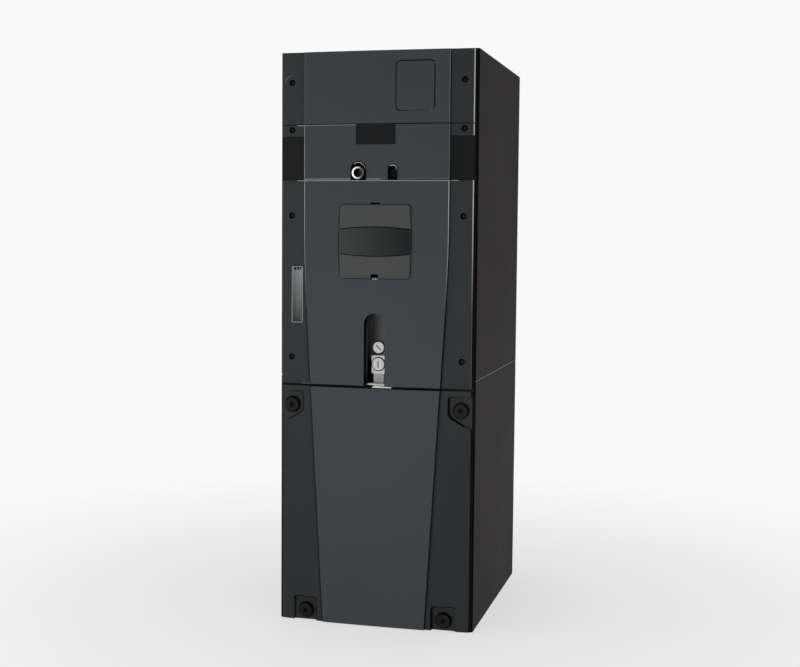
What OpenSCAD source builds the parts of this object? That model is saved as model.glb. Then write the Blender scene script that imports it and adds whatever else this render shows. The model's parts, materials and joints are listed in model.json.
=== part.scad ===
// Upright air handler: two stacked insulated boxes with four front panels,
// a double-inlet blower below, an A-shaped coil over its drain pan in the middle,
// the line connections above it and an electric heater at the top.
// Millimetres, +Z up, front towards -Y, origin under the middle of the whole object.

/* [Cabinet] */
// Width over the side walls
cabinet_w = 444.5; // [430:0.5:500]
// Height from the floor to the top
cabinet_h = 1266.8; // [1255:0.1:1320]
// Depth from the panels' outer edge to the back
cabinet_d = 537.5; // [520:0.5:600]
// Thickness of the insulated walls
wall_t = 22; // [20:1:26]
// Radius of the cabinet's upright corners
corner_r = 4; // [2:0.5:8]
// Height at which the upper box stands on the lower box
seam_z = 555; // [553:1:560]
// Thickness of the seal between the two boxes
seam_gasket_t = 1.5; // [1:0.1:2]
// Height of the bottom frame
base_h = 30; // [24:1:32]
// Rim of the bottom frame beside the return air opening
return_rim_x = 35; // [25:1:60]
// Rim of the bottom frame in front of and behind that opening
return_rim_y = 48; // [38:1:78]
// Thickness of the top frame
top_t = 23; // [16:1:26]
// Rim of the top frame beside the supply air opening
supply_rim_x = 35; // [25:1:60]
// Rim of the top frame in front of that opening
supply_front_rim = 88; // [80:1:120]
// Rim of the top frame behind that opening
supply_back_rim = 28; // [20:1:50]

/* [Front frame] */
// Depth of the front frame
frame_t = 12; // [10:1:14]
// Wall skin left outside the front frame
wall_lip = 3.75; // [2.5:0.25:4.5]
// Width of the frame's upright stiles
stile_w = 38.5; // [36:0.5:42]
// Height of the bottom bar
bottom_bar_h = 36; // [34:1:37]
// Height of the bars behind the panel joints
cross_bar_h = 30; // [26:1:34]
// Height of the top bar
top_bar_h = 23.5; // [18:0.5:24]

/* [Panels] */
// Gap from the side walls' outer faces to the panels' edge
panel_side_gap = 5.6; // [3.3:0.1:8]
// How far the panels' edge stands in front of the walls
panel_stand = 7; // [6:0.5:9]
// Thickness of the foam seal behind the panels
gasket_t = 1.5; // [1:0.1:2]
// Width of that seal
gasket_w = 10; // [6:1:12]
// Wall of the hollow centre of a panel
panel_wall = 4; // [3:0.5:5]
// How far the centre of a panel stands in front of its edge
crown_rise = 15; // [14:0.5:17]
// How much the centre zone falls off towards its seams
crown_sag = 3; // [2:0.5:4]
// Width of each side band above the taper
band_w = 53.65; // [51.5:0.05:58]
// How much the centre zone narrows per millimetre of height, each side
taper = 0.0572; // [0.04:0.001:0.06]
// Where the straight taper would reach the full width, below the coil panel's top joint
taper_drop = 170; // [158:1:188]
// Half the height over which the taper blends into the upright seams
taper_blend = 78; // [40:1:80]
// Depth of the joint over the blower panel below the cabinet's seam
blower_split_drop = 19.5; // [18:0.5:21]
// Height of the heater panel, with its joint
heater_panel_h = 158.8; // [154.8:0.1:162.8]
// Height of the line-set panel, with its joint
lineset_panel_h = 120; // [116:0.5:124]
// Gap between the upper panels
joint_gap = 2; // [1:0.5:3]
// Gap over the blower panel, which has to come off
blower_gap = 5; // [4:0.5:6]
// Depth of the foam behind the panels
liner_t = 24.5; // [18:0.5:26]

/* [Panel fittings] */
// Distance of the panel screws from the panel's edge
screw_inset = 23.35; // [20.5:0.05:26.5]
// Heater panel's screws below the top
heater_screw_drop = 66.8; // [60:0.1:75]
// Line-set panel's screws below its upper joint
lineset_screw_drop = 11.3; // [10.5:0.1:14]
// Coil panel's upper screws below its upper joint
coil_screw_drop = 78; // [70:1:86]
// Coil panel's lower screws above the cabinet's seam
coil_screw_rise = 42; // [36:1:50]
// Radius of the screw wells
screw_well_r = 7; // [6:0.25:8]
// Width across flats of the screw heads
screw_head_w = 8; // [6:0.5:9]
// Radius of the screws
screw_r = 2.1; // [1.8:0.1:2.5]
// Distance of the upper knobs from the panel's edge
knob_top_inset = 24.35; // [24.15:0.05:25.65]
// Distance of the upper knobs below the panel's top joint
knob_top_drop = 45.5; // [41.5:0.5:49.5]
// Distance of the lower knobs from the panel's edge
knob_low_inset = 57.65; // [55.65:0.05:59.65]
// Height of the lower knobs
knob_low_z = 24; // [22:1:26]
// Radius of a knob's flange
knob_flange_r = 18.5; // [17:0.5:20]
// Radius of a knob's grip
knob_r = 15.5; // [13:0.5:16]
// Radius of a knob's stud
stud_r = 4.5; // [4:0.1:5]
// Depth of the pocket floor behind the panels' edge
pocket_y = 2; // [1:0.5:2.5]
// Width of the badge cover
badge_w = 162; // [150:1:170]
// Height of the badge cover
badge_h = 161; // [150:1:165]
// Middle of the badge cover below the coil panel's top joint
badge_drop = 133.8; // [128:0.1:143]
// How far the badge cover stands in front of the centre zone
badge_proud = 3; // [2:0.5:3.5]
// Width of the breaker cover's opening
breaker_w = 87.5; // [84:0.5:92]
// Height of the breaker cover's opening
breaker_h = 108.5; // [104:0.5:110]
// Middle of the breaker cover from the centre zone's right edge
breaker_inset = 76; // [73:0.5:79]
// Middle of the breaker cover below the top
breaker_drop = 78.4; // [78:0.1:82]
// Gap round the breaker cover
breaker_gap = 2.2; // [2:0.1:3]
// Middle of the side bezel from the panel's edge
bezel_inset = 36.85; // [35:0.05:38]
// Middle of the side bezel below the middle between the coil panel's screws
bezel_drop = 17.6; // [14:0.1:22]
// Height of the side bezel
bezel_h = 125; // [110:1:135]
// Width of the side bezel
bezel_w = 26; // [24:1:28]

/* [Line connections] */
// Height of the tube stubs above the line-set panel's lower joint
line_rise = 15; // [15:0.5:20]
// Distance of both stubs from the middle
line_x = 38.4; // [36:0.1:44]
// Outer radius of the suction stub
suction_r = 13.5; // [12.5:0.1:14]
// Bore radius of the suction stub, for a 3/4 inch tube
suction_bore_r = 9.58; // [8:0.01:11]
// Outer radius of the liquid stub
liquid_r = 7; // [6.5:0.1:8]
// Bore radius of the liquid stub, for a 3/8 inch tube
liquid_bore_r = 4.82; // [4:0.01:5.5]
// Radius of the suction port in the panel
suction_port_r = 17.5; // [17:0.5:20]
// Radius of the liquid port in the panel
liquid_port_r = 11; // [10.5:0.5:13]
// How far the suction stub stands in front of the centre zone
stub_reach = 5; // [4:0.5:8]

/* [Drain] */
// Half the width of the drain slot in the coil panel
slot_r = 23.6; // [22:0.2:25]
// Top of the drain slot above the cabinet's seam
slot_rise = 143; // [141:1:149]
// Upper drain plug above the cabinet's seam
plug_high_rise = 65.6; // [63:0.1:69]
// Lower drain plug above the cabinet's seam
plug_low_rise = 28.7; // [27:0.1:30]
// Height of the drain pan's walls
pan_h = 40; // [32:1:46]
// Thickness of the drain pan
pan_t = 3; // [2.5:0.5:4]

/* [Coil] */
// Half the gap between the two slabs at their top
coil_apex_x = 9.7; // [6:0.1:30]
// Room over the coil, up to the line-set panel's lower joint
coil_headroom = 80.6; // [78:0.2:120]
// Thickness of a slab
slab_t = 44; // [38:1:46]
// Gap behind the slabs, where the return bends are
coil_back_gap = 23.5; // [21.5:0.5:60]
// Pitch of the fins as drawn
fin_pitch = 10; // [8:1:16]
// Depth of the fins over the tube core
fin_h = 6; // [4:1:8]
// Radius of the coil's tubes
tube_r = 4.76; // [4:0.01:5]
// Distance between neighbouring tubes
tube_pitch = 25.4; // [22:0.1:26]

/* [Blower] */
// Radius of the blower wheel
wheel_r = 127; // [115:1:129]
// Width of the blower wheel
wheel_w = 203; // [180:1:205]
// Number of blades
blade_count = 40; // [30:1:44]
// Radial depth of the blades
blade_depth = 20; // [16:1:24]
// Height of the blower's axis
blower_z = 300; // [296:1:304]
// Place of the blower's axis behind the panels' edge
blower_y = 250; // [245:1:260]
// Gap between wheel and scroll at the cut-off
cutoff_gap = 10; // [8:1:12]
// How much the scroll widens round the wheel
scroll_growth = 53; // [44:1:56]
// Sheet thickness of the blower housing
sheet_t = 2; // [1.5:0.5:2.5]
// Radius of the motor
motor_r = 70; // [60:1:74]
// Length of the motor
motor_l = 112; // [95:1:115]
// Radius of the motor's shaft
shaft_r = 6.35; // [5:0.05:8]

/* [Heater and filter] */
// Thickness of the filter
filter_t = 25; // [20:1:26]
// Gap behind the filter
filter_back_gap = 11.5; // [8:0.5:60]
// Radius of the heating elements
element_r = 4; // [3:0.25:5]
// Length of the heating elements
element_l = 300; // [200:5:340]

/* [Hidden] */
$fn = 48;
// Facets of a full circle for the panels' shallow arcs
big_fn = 1440;

// A hair more than a cut needs, so that faces never coincide
eps = 0.5;
// Clearance between pieces of different moving bodies
part_gap = 0.3;
// Running clearance of a pin or shaft in its bore
run_gap = 0.06;
// Clearance round fixed pieces that slip into place
fit_gap = 0.3;

// Places along Y, measured from the plane of the panels' outer edge
edge_y = (crown_rise + stub_reach - cabinet_d) / 2;
rim_y = panel_stand - gasket_t;
frame_back_y = panel_stand + frame_t;
liner_back_y = rim_y + liner_t;
back_in_y = cabinet_d - wall_t;
inner_w = cabinet_w - 2 * wall_t;
frame_w = cabinet_w - 2 * wall_lip;
window_w = frame_w - 2 * stile_w;

// Places across, measured from the panels' edge
panel_w = cabinet_w - 2 * panel_side_gap;
zone_w = panel_w - 2 * band_w;
screw_x = panel_w / 2 - screw_inset;
knob_top_x = panel_w / 2 - knob_top_inset;
knob_low_x = panel_w / 2 - knob_low_inset;
breaker_x = zone_w / 2 - breaker_inset;

// Heights, measured from the top and from the seam between the boxes
heater_split_z = cabinet_h - heater_panel_h;
lineset_split_z = heater_split_z - lineset_panel_h;
blower_split_z = seam_z - blower_split_drop;
taper_z = lineset_split_z - taper_drop;
breaker_z = cabinet_h - breaker_drop;
badge_z = lineset_split_z - badge_drop;
line_z = lineset_split_z + line_rise;
knob_top_z = blower_split_z - knob_top_drop;
slot_top_z = seam_z + slot_rise;
plug_high_z = seam_z + plug_high_rise;
plug_low_z = seam_z + plug_low_rise;

// Heights of the screws: one of the heater panel, one of the line-set panel, two of the coil panel
screw_heights = [
    cabinet_h - heater_screw_drop, heater_split_z - lineset_screw_drop,
    lineset_split_z - coil_screw_drop, seam_z + coil_screw_rise
];

// Colours of the materials
dark_plastic = [0.20, 0.21, 0.22];
band_plastic = [0.15, 0.16, 0.165];
black = [0.05, 0.05, 0.055];
wall_skin = [0.22, 0.21, 0.20];
foam = [0.45, 0.45, 0.43];
white_plastic = [0.85, 0.85, 0.83];
steel = [0.62, 0.63, 0.65];
copper = [0.72, 0.45, 0.32];
aluminium = [0.75, 0.76, 0.78];

// Radius of an arc from half its chord and its rise
function arc_radius(half, rise) = (half * half + rise * rise) / (2 * rise);

// Places everything behind the plane of the panels' edge
module placed() {
    translate([0, edge_y, 0]) children();
}

// Pushes a front view outline back from y0 to y1
module front_slab(y0, y1) {
    translate([0, y1, 0]) rotate([90, 0, 0]) linear_extrude(y1 - y0) children();
}

// A box from its two corners
module block(low, high) {
    translate(low) cube(high - low);
}

module round_rect(w, h, r) {
    square([w - 2 * r, h], center = true);
    square([w, h - 2 * r], center = true);
    for (sx = [-1, 1], sy = [-1, 1])
        translate([sx * (w / 2 - r), sy * (h / 2 - r)]) circle(r = r);
}

// A round bar along Y from y0 to y1
module bar_y(x, z, r, y0, y1) {
    translate([x, y1, z]) rotate([90, 0, 0]) cylinder(r = r, h = y1 - y0);
}

// A round bar along X from x0 to x1
module bar_x(y, z, r, x0, x1) {
    translate([x0, y, z]) rotate([0, 90, 0]) cylinder(r = r, h = x1 - x0);
}

// Cabinet

module cabinet_plan() {
    translate([0, (panel_stand + cabinet_d) / 2])
        round_rect(cabinet_w, cabinet_d - panel_stand, corner_r);
}

// One side wall's plan: the outer skin runs forward past the front frame
module side_wall_plan(side) {
    intersection() {
        cabinet_plan();
        union() {
            translate([side * (cabinet_w + inner_w) / 4, (frame_back_y + cabinet_d) / 2])
                square([wall_t, cabinet_d - frame_back_y], center = true);
            translate([side * (cabinet_w - wall_lip) / 2, panel_stand + frame_t])
                square([wall_lip, 2 * frame_t + eps], center = true);
        }
    }
}

module side_wall(side, z0, z1) {
    color(wall_skin) placed() translate([0, 0, z0]) linear_extrude(z1 - z0) side_wall_plan(side);
}

module back_wall(z0, z1) {
    color(wall_skin) placed()
        block([-inner_w / 2, back_in_y, z0], [inner_w / 2, cabinet_d, z1]);
}

lower_top_z = seam_z - seam_gasket_t / 2;
upper_low_z = seam_z + seam_gasket_t / 2;

module lower_left_wall() { side_wall(-1, 0, lower_top_z); }
module lower_right_wall() { side_wall(1, 0, lower_top_z); }
module lower_back_wall() { back_wall(0, lower_top_z); }
module upper_left_wall() { side_wall(-1, upper_low_z, cabinet_h); }
module upper_right_wall() { side_wall(1, upper_low_z, cabinet_h); }
module upper_back_wall() { back_wall(upper_low_z, cabinet_h); }

// The seal lies a little inside the outer skins, which leaves the dark line round the cabinet
seal_inset = 1.2;

module seam_gasket() {
    color(black) placed() translate([0, 0, lower_top_z]) linear_extrude(seam_gasket_t)
        difference() {
            block_plan(cabinet_w / 2 - seal_inset, frame_back_y, cabinet_d - seal_inset);
            block_plan(inner_w / 2 + seal_inset, frame_back_y - eps, back_in_y + seal_inset);
        }
}

module block_plan(half, y0, y1) {
    translate([-half, y0]) square([2 * half, y1 - y0]);
}

// A frame plate between the walls with a rounded air opening
opening_r = 12;

module air_frame(z0, z1, rim_x, front_rim, back_rim) {
    y0 = frame_back_y + front_rim;
    y1 = back_in_y - back_rim;
    color(wall_skin) placed() translate([0, 0, z0]) linear_extrude(z1 - z0)
        difference() {
            block_plan(inner_w / 2, frame_back_y, back_in_y);
            translate([0, (y0 + y1) / 2]) round_rect(inner_w - 2 * rim_x, y1 - y0, opening_r);
        }
}

module base_frame() {
    color(wall_skin) difference() {
        air_frame(0, base_h, return_rim_x, return_rim_y, return_rim_y);
        placed() for (p = knob_places)
            bar_y(p[0], p[1], receiver_r + fit_gap, frame_back_y - eps, receiver_back_y + fit_gap);
    }
}

module top_frame() {
    air_frame(cabinet_h - top_t, cabinet_h, supply_rim_x, supply_front_rim, supply_back_rim);
}

// The deck carries the blower below and the drain pan above
deck_drop = 3;
deck_t = 12;
deck_top_z = seam_z - deck_drop;
deck_low_z = deck_top_z - deck_t;
notch_half = 26;
column_y = 30;

// Inner half width of the blower housing
housing_half = wheel_w / 2 + 11.5;
outlet_front_y = blower_y;
outlet_back_y = blower_y + wheel_r + cutoff_gap + scroll_growth;

module blower_deck() {
    color(steel) placed() difference() {
        block([-inner_w / 2, frame_back_y, deck_low_z], [inner_w / 2, back_in_y, deck_top_z]);
        block([-housing_half, outlet_front_y, deck_low_z - eps],
              [housing_half, outlet_back_y, deck_top_z + eps]);
        block([-notch_half, frame_back_y - eps, deck_low_z - eps],
              [notch_half, column_y + eps, deck_top_z + eps]);
    }
}

// Front frame

blower_top_z = blower_split_z - blower_gap / 2;
coil_low_z = blower_split_z + blower_gap / 2;
coil_top_z = lineset_split_z - joint_gap / 2;
lineset_low_z = lineset_split_z + joint_gap / 2;
lineset_top_z = heater_split_z - joint_gap / 2;
heater_low_z = heater_split_z + joint_gap / 2;
edge_inset = 2;
blower_low_z = edge_inset;
heater_top_z = cabinet_h - edge_inset;

// Windows of the frame: blower, coil, line set and heater, as [low, high]
windows = [
    [max(bottom_bar_h, base_h), blower_split_z - cross_bar_h / 2 - 3],
    [deck_top_z + fit_gap, coil_top_z - cross_bar_h],
    [coil_top_z, heater_split_z - cross_bar_h / 2],
    [heater_split_z + cross_bar_h / 2, cabinet_h - max(top_bar_h, top_t)]
];
screw_places = [for (side = [-1, 1], z = screw_heights) [side * screw_x, z]];
knob_places = [
    [-knob_top_x, knob_top_z], [knob_top_x, knob_top_z],
    [-knob_low_x, knob_low_z], [knob_low_x, knob_low_z]
];
receiver_bore_r = stud_r + 1.1;

// The frame's bars end just short of the stiles that they are riveted to
bar_gap = 0.1;

// A cross bar, from the middle or from x0 outwards on both sides
module cross_bar(z0, z1, x0 = 0) {
    x1 = window_w / 2 - bar_gap;
    if (x0 == 0) block([-x1, panel_stand, z0], [x1, frame_back_y, z1]);
    else for (side = [-1, 1]) mirror([side < 0 ? 1 : 0, 0, 0])
        block([x0, panel_stand, z0], [x1, frame_back_y, z1]);
}

// Two stiles and the bars between them. Over the blower panel the bar is split, with a gap for the drain.
module front_frame() {
    color(black) placed() difference() {
        union() {
            for (side = [-1, 1]) mirror([side < 0 ? 1 : 0, 0, 0])
                block([window_w / 2, panel_stand, 0], [frame_w / 2, frame_back_y, cabinet_h]);
            cross_bar(0, windows[0][0]);
            cross_bar(windows[0][1], blower_top_z);
            cross_bar(blower_top_z + bar_gap, windows[1][0], slot_r);
            cross_bar(windows[1][1], windows[2][0]);
            cross_bar(windows[2][1], windows[3][0]);
            cross_bar(windows[3][1], cabinet_h);
        }
        for (p = screw_places) bar_y(p[0], p[1], screw_r + run_gap, panel_stand - eps, frame_back_y + eps);
        for (p = knob_places) bar_y(p[0], p[1], receiver_bore_r, panel_stand - eps, frame_back_y + eps);
    }
}

// Foam strips on the frame round each panel, butted at the corners
seal_edge = 3;
strip_gap = 0.2;
seal_half = panel_w / 2 - seal_edge;

module side_strips(z0, z1, front = rim_y) {
    for (side = [-1, 1]) mirror([side < 0 ? 1 : 0, 0, 0])
        block([seal_half - gasket_w, front, z0], [seal_half, panel_stand, z1]);
}

module cross_strips(z0, z1, front = rim_y) {
    half = seal_half - gasket_w - strip_gap;
    for (z = [z0, z1 - gasket_w]) block([-half, front, z], [half, panel_stand, z + gasket_w]);
}

module panel_gaskets() {
    color(black) placed() {
        side_strips(heater_low_z + 1, heater_top_z - seal_edge);
        cross_strips(heater_low_z + 1, heater_top_z - seal_edge);
        side_strips(lineset_low_z + 1, lineset_top_z - 1);
        side_strips(coil_low_z + 1, coil_top_z - 1);
        difference() {
            cross_strips(coil_low_z + 1, coil_top_z - 1);
            front_slab(rim_y - eps, panel_stand + eps) slot_outline();
        }
        side_strips(blower_low_z + seal_edge, blower_top_z - 1, rim_y + part_gap);
        cross_strips(blower_low_z + seal_edge, blower_top_z - 1, rim_y + part_gap);
    }
}

// Panel form: side bands on one large arc, and a centre zone that stands out in front of them

band_rise = crown_rise - 2;
band_edge_rise = 2.4;
edge_chamfer = 3;
band_r = arc_radius(panel_w / 2, band_rise - band_edge_rise);
crown_r = arc_radius(zone_w / 2, crown_sag);
groove_w = 1.8;
groove_d = 1.6;
reach = 60;

// Half the centre zone's width at a height: upright seams, a blend, then the straight taper
function zone_half(z) =
    let (low = taper_z - taper_blend, high = taper_z + taper_blend)
    z >= high ? zone_w / 2
    : z <= low ? zone_w / 2 - taper * (taper_z - z)
    : zone_w / 2 - taper * taper_blend + taper * (z - low) * (1 - (z - low) / (4 * taper_blend));

blend_steps = 8;
function zone_heights(z0, z1) = concat(
    [z0],
    [for (i = [0:blend_steps])
        let (z = taper_z + taper_blend * (2 * i / blend_steps - 1)) if (z > z0 && z < z1) z],
    [z1]);

// Front view of the centre zone, grown by a margin on each side
module zone_outline(z0, z1, grow = 0) {
    heights = zone_heights(z0, z1);
    polygon(concat(
        [for (z = heights) [zone_half(z) + grow, z]],
        [for (i = [len(heights) - 1:-1:0]) [-zone_half(heights[i]) - grow, heights[i]]]));
}

module band_plan() {
    half = panel_w / 2;
    intersection() {
        translate([0, band_r - band_rise]) circle(r = band_r, $fn = big_fn);
        polygon([
            [-half, rim_y], [-half, 0], [edge_chamfer - half, -edge_chamfer], [edge_chamfer - half, -reach],
            [half - edge_chamfer, -reach], [half - edge_chamfer, -edge_chamfer], [half, 0], [half, rim_y]]);
    }
}

// Everything behind the centre zone's surface, moved back by a depth
module crown_block(z0, z1, depth = 0) {
    translate([0, depth, z0]) linear_extrude(z1 - z0) intersection() {
        translate([0, crown_r - crown_rise]) circle(r = crown_r, $fn = big_fn);
        translate([-zone_w / 2 - 2, -reach]) square([zone_w + 4, reach + rim_y]);
    }
}

module band_block(z0, z1, depth = 0) {
    translate([0, depth, z0]) linear_extrude(z1 - z0) band_plan();
}

// The hollow behind the centre zone, or with a clearance the pad that fills it
module crown_hollow(z0, z1, clear = 0, back = rim_y) {
    inset = panel_wall + clear;
    intersection() {
        crown_block(z0 + inset, z1 - inset, inset);
        front_slab(-reach, back) zone_outline(z0 + inset, z1 - inset, -inset);
    }
}

// Place along Y of the centre zone's surface, at a distance from the middle
function crown_front(x) = crown_r - crown_rise - sqrt(crown_r * crown_r - x * x);

// A whole panel before its own openings are cut. Children stay solid in its hollow.
module panel_form(z0, z1) {
    difference() {
        union() {
            difference() {
                band_block(z0, z1);
                difference() {
                    front_slab(-reach, 0) difference() {
                        zone_outline(z0 - eps, z1 + eps, groove_w);
                        zone_outline(z0 - 2 * eps, z1 + 2 * eps);
                    }
                    band_block(z0 - 2 * eps, z1 + 2 * eps, groove_d);
                }
            }
            intersection() {
                crown_block(z0, z1);
                front_slab(-reach, rim_y) zone_outline(z0, z1);
            }
        }
        difference() {
            crown_hollow(z0, z1, back = rim_y + eps);
            children();
        }
    }
}

// Foam behind a panel: a plate inside the frame's window and a pad that fills the panel's hollow
module liner_form(z0, z1, window) {
    union() {
        crown_hollow(z0, z1, fit_gap);
        block([-window_w / 2 + fit_gap, rim_y, window[0] + fit_gap],
              [window_w / 2 - fit_gap, liner_back_y, window[1] - fit_gap]);
    }
}

module screw_wells(z_list) {
    for (side = [-1, 1], z = z_list) {
        bar_y(side * screw_x, z, screw_well_r, -reach, well_floor_y);
        bar_y(side * screw_x, z, screw_r + fit_gap, -reach, rim_y + eps);
    }
}

well_floor_y = 2.5;
head_t = 3.5;

module panel_screws() {
    color(steel) placed() for (p = screw_places) {
        translate([p[0], well_floor_y, p[1]]) rotate([90, 0, 0])
            cylinder(r = screw_head_w / sqrt(3), h = head_t, $fn = 6);
        bar_y(p[0], p[1], screw_head_w / 2 + 1, well_floor_y - 1, well_floor_y);
        bar_y(p[0], p[1], screw_r, well_floor_y - 1, frame_back_y);
    }
}

// Heater panel, with the opening over the breakers

module breaker_outline(grow = 0) {
    translate([breaker_x, breaker_z]) round_rect(breaker_w + 2 * grow, breaker_h + 2 * grow, 11 + grow);
}

hinge_drop = 9;
hinge_pin_r = 1.5;
hinge_depth = 3.6;
hinge_y = crown_front(breaker_x) + hinge_depth;
hinge_z = breaker_z + breaker_h / 2 - breaker_gap - hinge_drop;
barrel_r = 2.8;

module heater_panel() {
    color(dark_plastic) placed() difference() {
        panel_form(heater_low_z, heater_top_z)
            front_slab(-reach, rim_y + 2 * eps) breaker_outline(panel_wall);
        front_slab(-reach, rim_y + eps) breaker_outline();
        screw_wells([screw_heights[0]]);
        hinge_bore();
    }
}

// The pin's seat in the walls beside the opening
hinge_pin_half = breaker_w / 2 + 2;

module hinge_bore() {
    bar_x(hinge_y, hinge_z, hinge_pin_r + 0.02, breaker_x - hinge_pin_half, breaker_x + hinge_pin_half);
}

module heater_liner() {
    color(foam) placed() difference() {
        liner_form(heater_low_z, heater_top_z, windows[3]);
        front_slab(-reach, liner_back_y + eps) breaker_outline(panel_wall + fit_gap);
    }
}

// Line-set panel, with the two ports and the dark recesses

port_rise = 7.5;
port_z = line_z + port_rise;
label_recess_w = 89;
label_recess_h = 43;
label_recess_d = 2;
side_recess_h = 94;
side_recess_top_z = lineset_split_z + side_recess_h;
side_recess_d = 2;
side_mid_x = (zone_w + panel_w) / 4 + groove_w;

module port_outline(x, r) {
    translate([x, port_z]) circle(r = r);
    translate([x - r, line_z - suction_port_r - eps]) square([2 * r, port_z - line_z + suction_port_r + eps]);
}

module both_ports(grow = 0) {
    port_outline(-line_x, suction_port_r + grow);
    port_outline(line_x, liquid_port_r + grow);
}

module lineset_panel() {
    color(dark_plastic) placed() difference() {
        panel_form(lineset_low_z, lineset_top_z) front_slab(-reach, rim_y + 2 * eps) both_ports(panel_wall);
        front_slab(-reach, rim_y + eps) both_ports();
        front_slab(-reach, -crown_rise + label_recess_d)
            translate([-label_recess_w / 2, lineset_top_z - label_recess_h])
                square([label_recess_w, label_recess_h + eps]);
        side_recesses();
        screw_wells([screw_heights[1]]);
    }
}

module side_recesses() {
    difference() {
        for (side = [-1, 1])
            front_slab(-reach, 0) translate([side * side_mid_x, (lineset_low_z + side_recess_top_z) / 2])
                square([(panel_w - zone_w) / 2 - 2, side_recess_top_z - lineset_low_z + eps], center = true);
        band_block(lineset_low_z - 1, side_recess_top_z + 1, side_recess_d);
    }
}

module lineset_liner() {
    color(foam) placed() difference() {
        liner_form(lineset_low_z, lineset_top_z, windows[2]);
        front_slab(-reach, liner_back_y + eps) both_ports(panel_wall + fit_gap);
    }
}

// Coil panel, with the badge cover's recess, the side bezel and the drain slot

badge_r = 12;
badge_gap = 1;
badge_floor_y = -crown_rise + 8;
badge_swell = 2;
notch_top_w = 22;
notch_low_w = 17;
bezel_x = bezel_inset - panel_w / 2;
bezel_z = (screw_heights[2] + screw_heights[3]) / 2 - bezel_drop;
bezel_floor_y = 1.5;

// Outline of the badge cover: a rounded square with slightly swelling sides
module badge_outline(grow = 0) {
    side_r = arc_radius(badge_h / 2, badge_swell);
    translate([0, badge_z]) intersection() {
        round_rect(badge_w + 2 * grow, badge_h + 2 * grow, badge_r + grow);
        translate([side_r - badge_w / 2 - grow, 0]) circle(r = side_r, $fn = big_fn);
        translate([badge_w / 2 + grow - side_r, 0]) circle(r = side_r, $fn = big_fn);
    }
}

module slot_outline(grow = 0) {
    translate([0, slot_top_z - slot_r]) circle(r = slot_r + grow);
    translate([-slot_r - grow, coil_low_z - 2 * eps])
        square([2 * (slot_r + grow), slot_top_z - slot_r - coil_low_z + 2 * eps]);
}

module coil_inserts(grow) {
    front_slab(-reach, badge_floor_y + panel_wall + grow) badge_outline(badge_gap + panel_wall + grow);
    front_slab(-reach, rim_y + 2 * eps) slot_outline(panel_wall + grow);
}

// Just under the slot's arch the panel is parted into a head and two legs, butted with a hair's gap
butt_drop = 3.4;
butt_gap = 0.1;

module coil_panel() {
    butt_z = slot_top_z - slot_r - butt_drop;
    color(dark_plastic) placed() difference() {
        panel_form(coil_low_z, coil_top_z) coil_inserts(0);
        front_slab(-reach, rim_y + eps) slot_outline();
        front_slab(-reach, badge_floor_y) badge_outline(badge_gap);
        front_slab(-reach, -crown_rise + 4)
            translate([-notch_top_w / 2, badge_z + badge_h / 2 - 1]) square([notch_top_w, badge_gap + 4]);
        front_slab(-reach, badge_floor_y)
            translate([-notch_low_w / 2, badge_z - badge_h / 2 - 3]) square([notch_low_w, 8]);
        front_slab(-reach, bezel_floor_y)
            translate([bezel_x, bezel_z]) round_rect(bezel_w + 2 * fit_gap, bezel_h + 2 * fit_gap, 3);
        screw_wells([screw_heights[2], screw_heights[3]]);
        block([-panel_w, -reach, butt_z - butt_gap], [panel_w, rim_y + eps, butt_z]);
    }
}

module coil_liner() {
    color(foam) placed() difference() {
        liner_form(coil_low_z, coil_top_z, windows[1]);
        coil_inserts(fit_gap);
        front_slab(-reach, liner_back_y + eps) slot_outline(panel_wall + fit_gap);
    }
}

// The bezel is a shallow trough with a rim, three slots at its top and a stop at its foot
module side_bezel() {
    rim = 2;
    front = -7.5;
    trough_r = arc_radius(bezel_w / 2 - rim, 5);
    color(band_plastic) placed() difference() {
        front_slab(front, bezel_floor_y) translate([bezel_x, bezel_z]) round_rect(bezel_w, bezel_h, 2.5);
        intersection() {
            translate([bezel_x, front - trough_r + 6, bezel_z - bezel_h / 2 + rim])
                cylinder(r = trough_r, h = bezel_h - 2 * rim);
            block([bezel_x - bezel_w / 2 + rim, -reach, bezel_z - bezel_h / 2 + rim],
                  [bezel_x + bezel_w / 2 - rim, 0, bezel_z + bezel_h / 2 - rim]);
        }
        for (i = [-1:1])
            block([bezel_x + i * 6 - 2, -reach, bezel_z + bezel_h / 2 - 8],
                  [bezel_x + i * 6 + 2, front + 7.5, bezel_z + bezel_h / 2 - 5.5]);
        bar_y(bezel_x, bezel_z - bezel_h / 2 + 9, 2.5, -reach, front + 7.5);
    }
}

// The tongue that snaps into the lower notch of the badge cover
module badge_latch() {
    color(foam) placed() {
        block([-6.5, -crown_rise + 1.2, badge_z - badge_h / 2 - 2.7],
              [6.5, badge_floor_y, badge_z - badge_h / 2 + 1.5]);
        block([-4.5, -crown_rise - 0.8, badge_z - badge_h / 2 + 0.3],
              [4.5, -crown_rise + 1.2, badge_z - badge_h / 2 + 1.5]);
    }
}

badge_front_y = -crown_rise - badge_proud;
badge_back_y = badge_floor_y - part_gap;
badge_edge = 1.5;
band_low_half = 25.5;
band_bulge = 5.6;
badge_band_proud = 1.5;

// What lies in both of two copies of an outline, one below and one above the badge's middle
module for_both(drop) {
    intersection() {
        translate([0, badge_z - drop]) children();
        translate([0, badge_z + drop]) children();
    }
}

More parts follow.
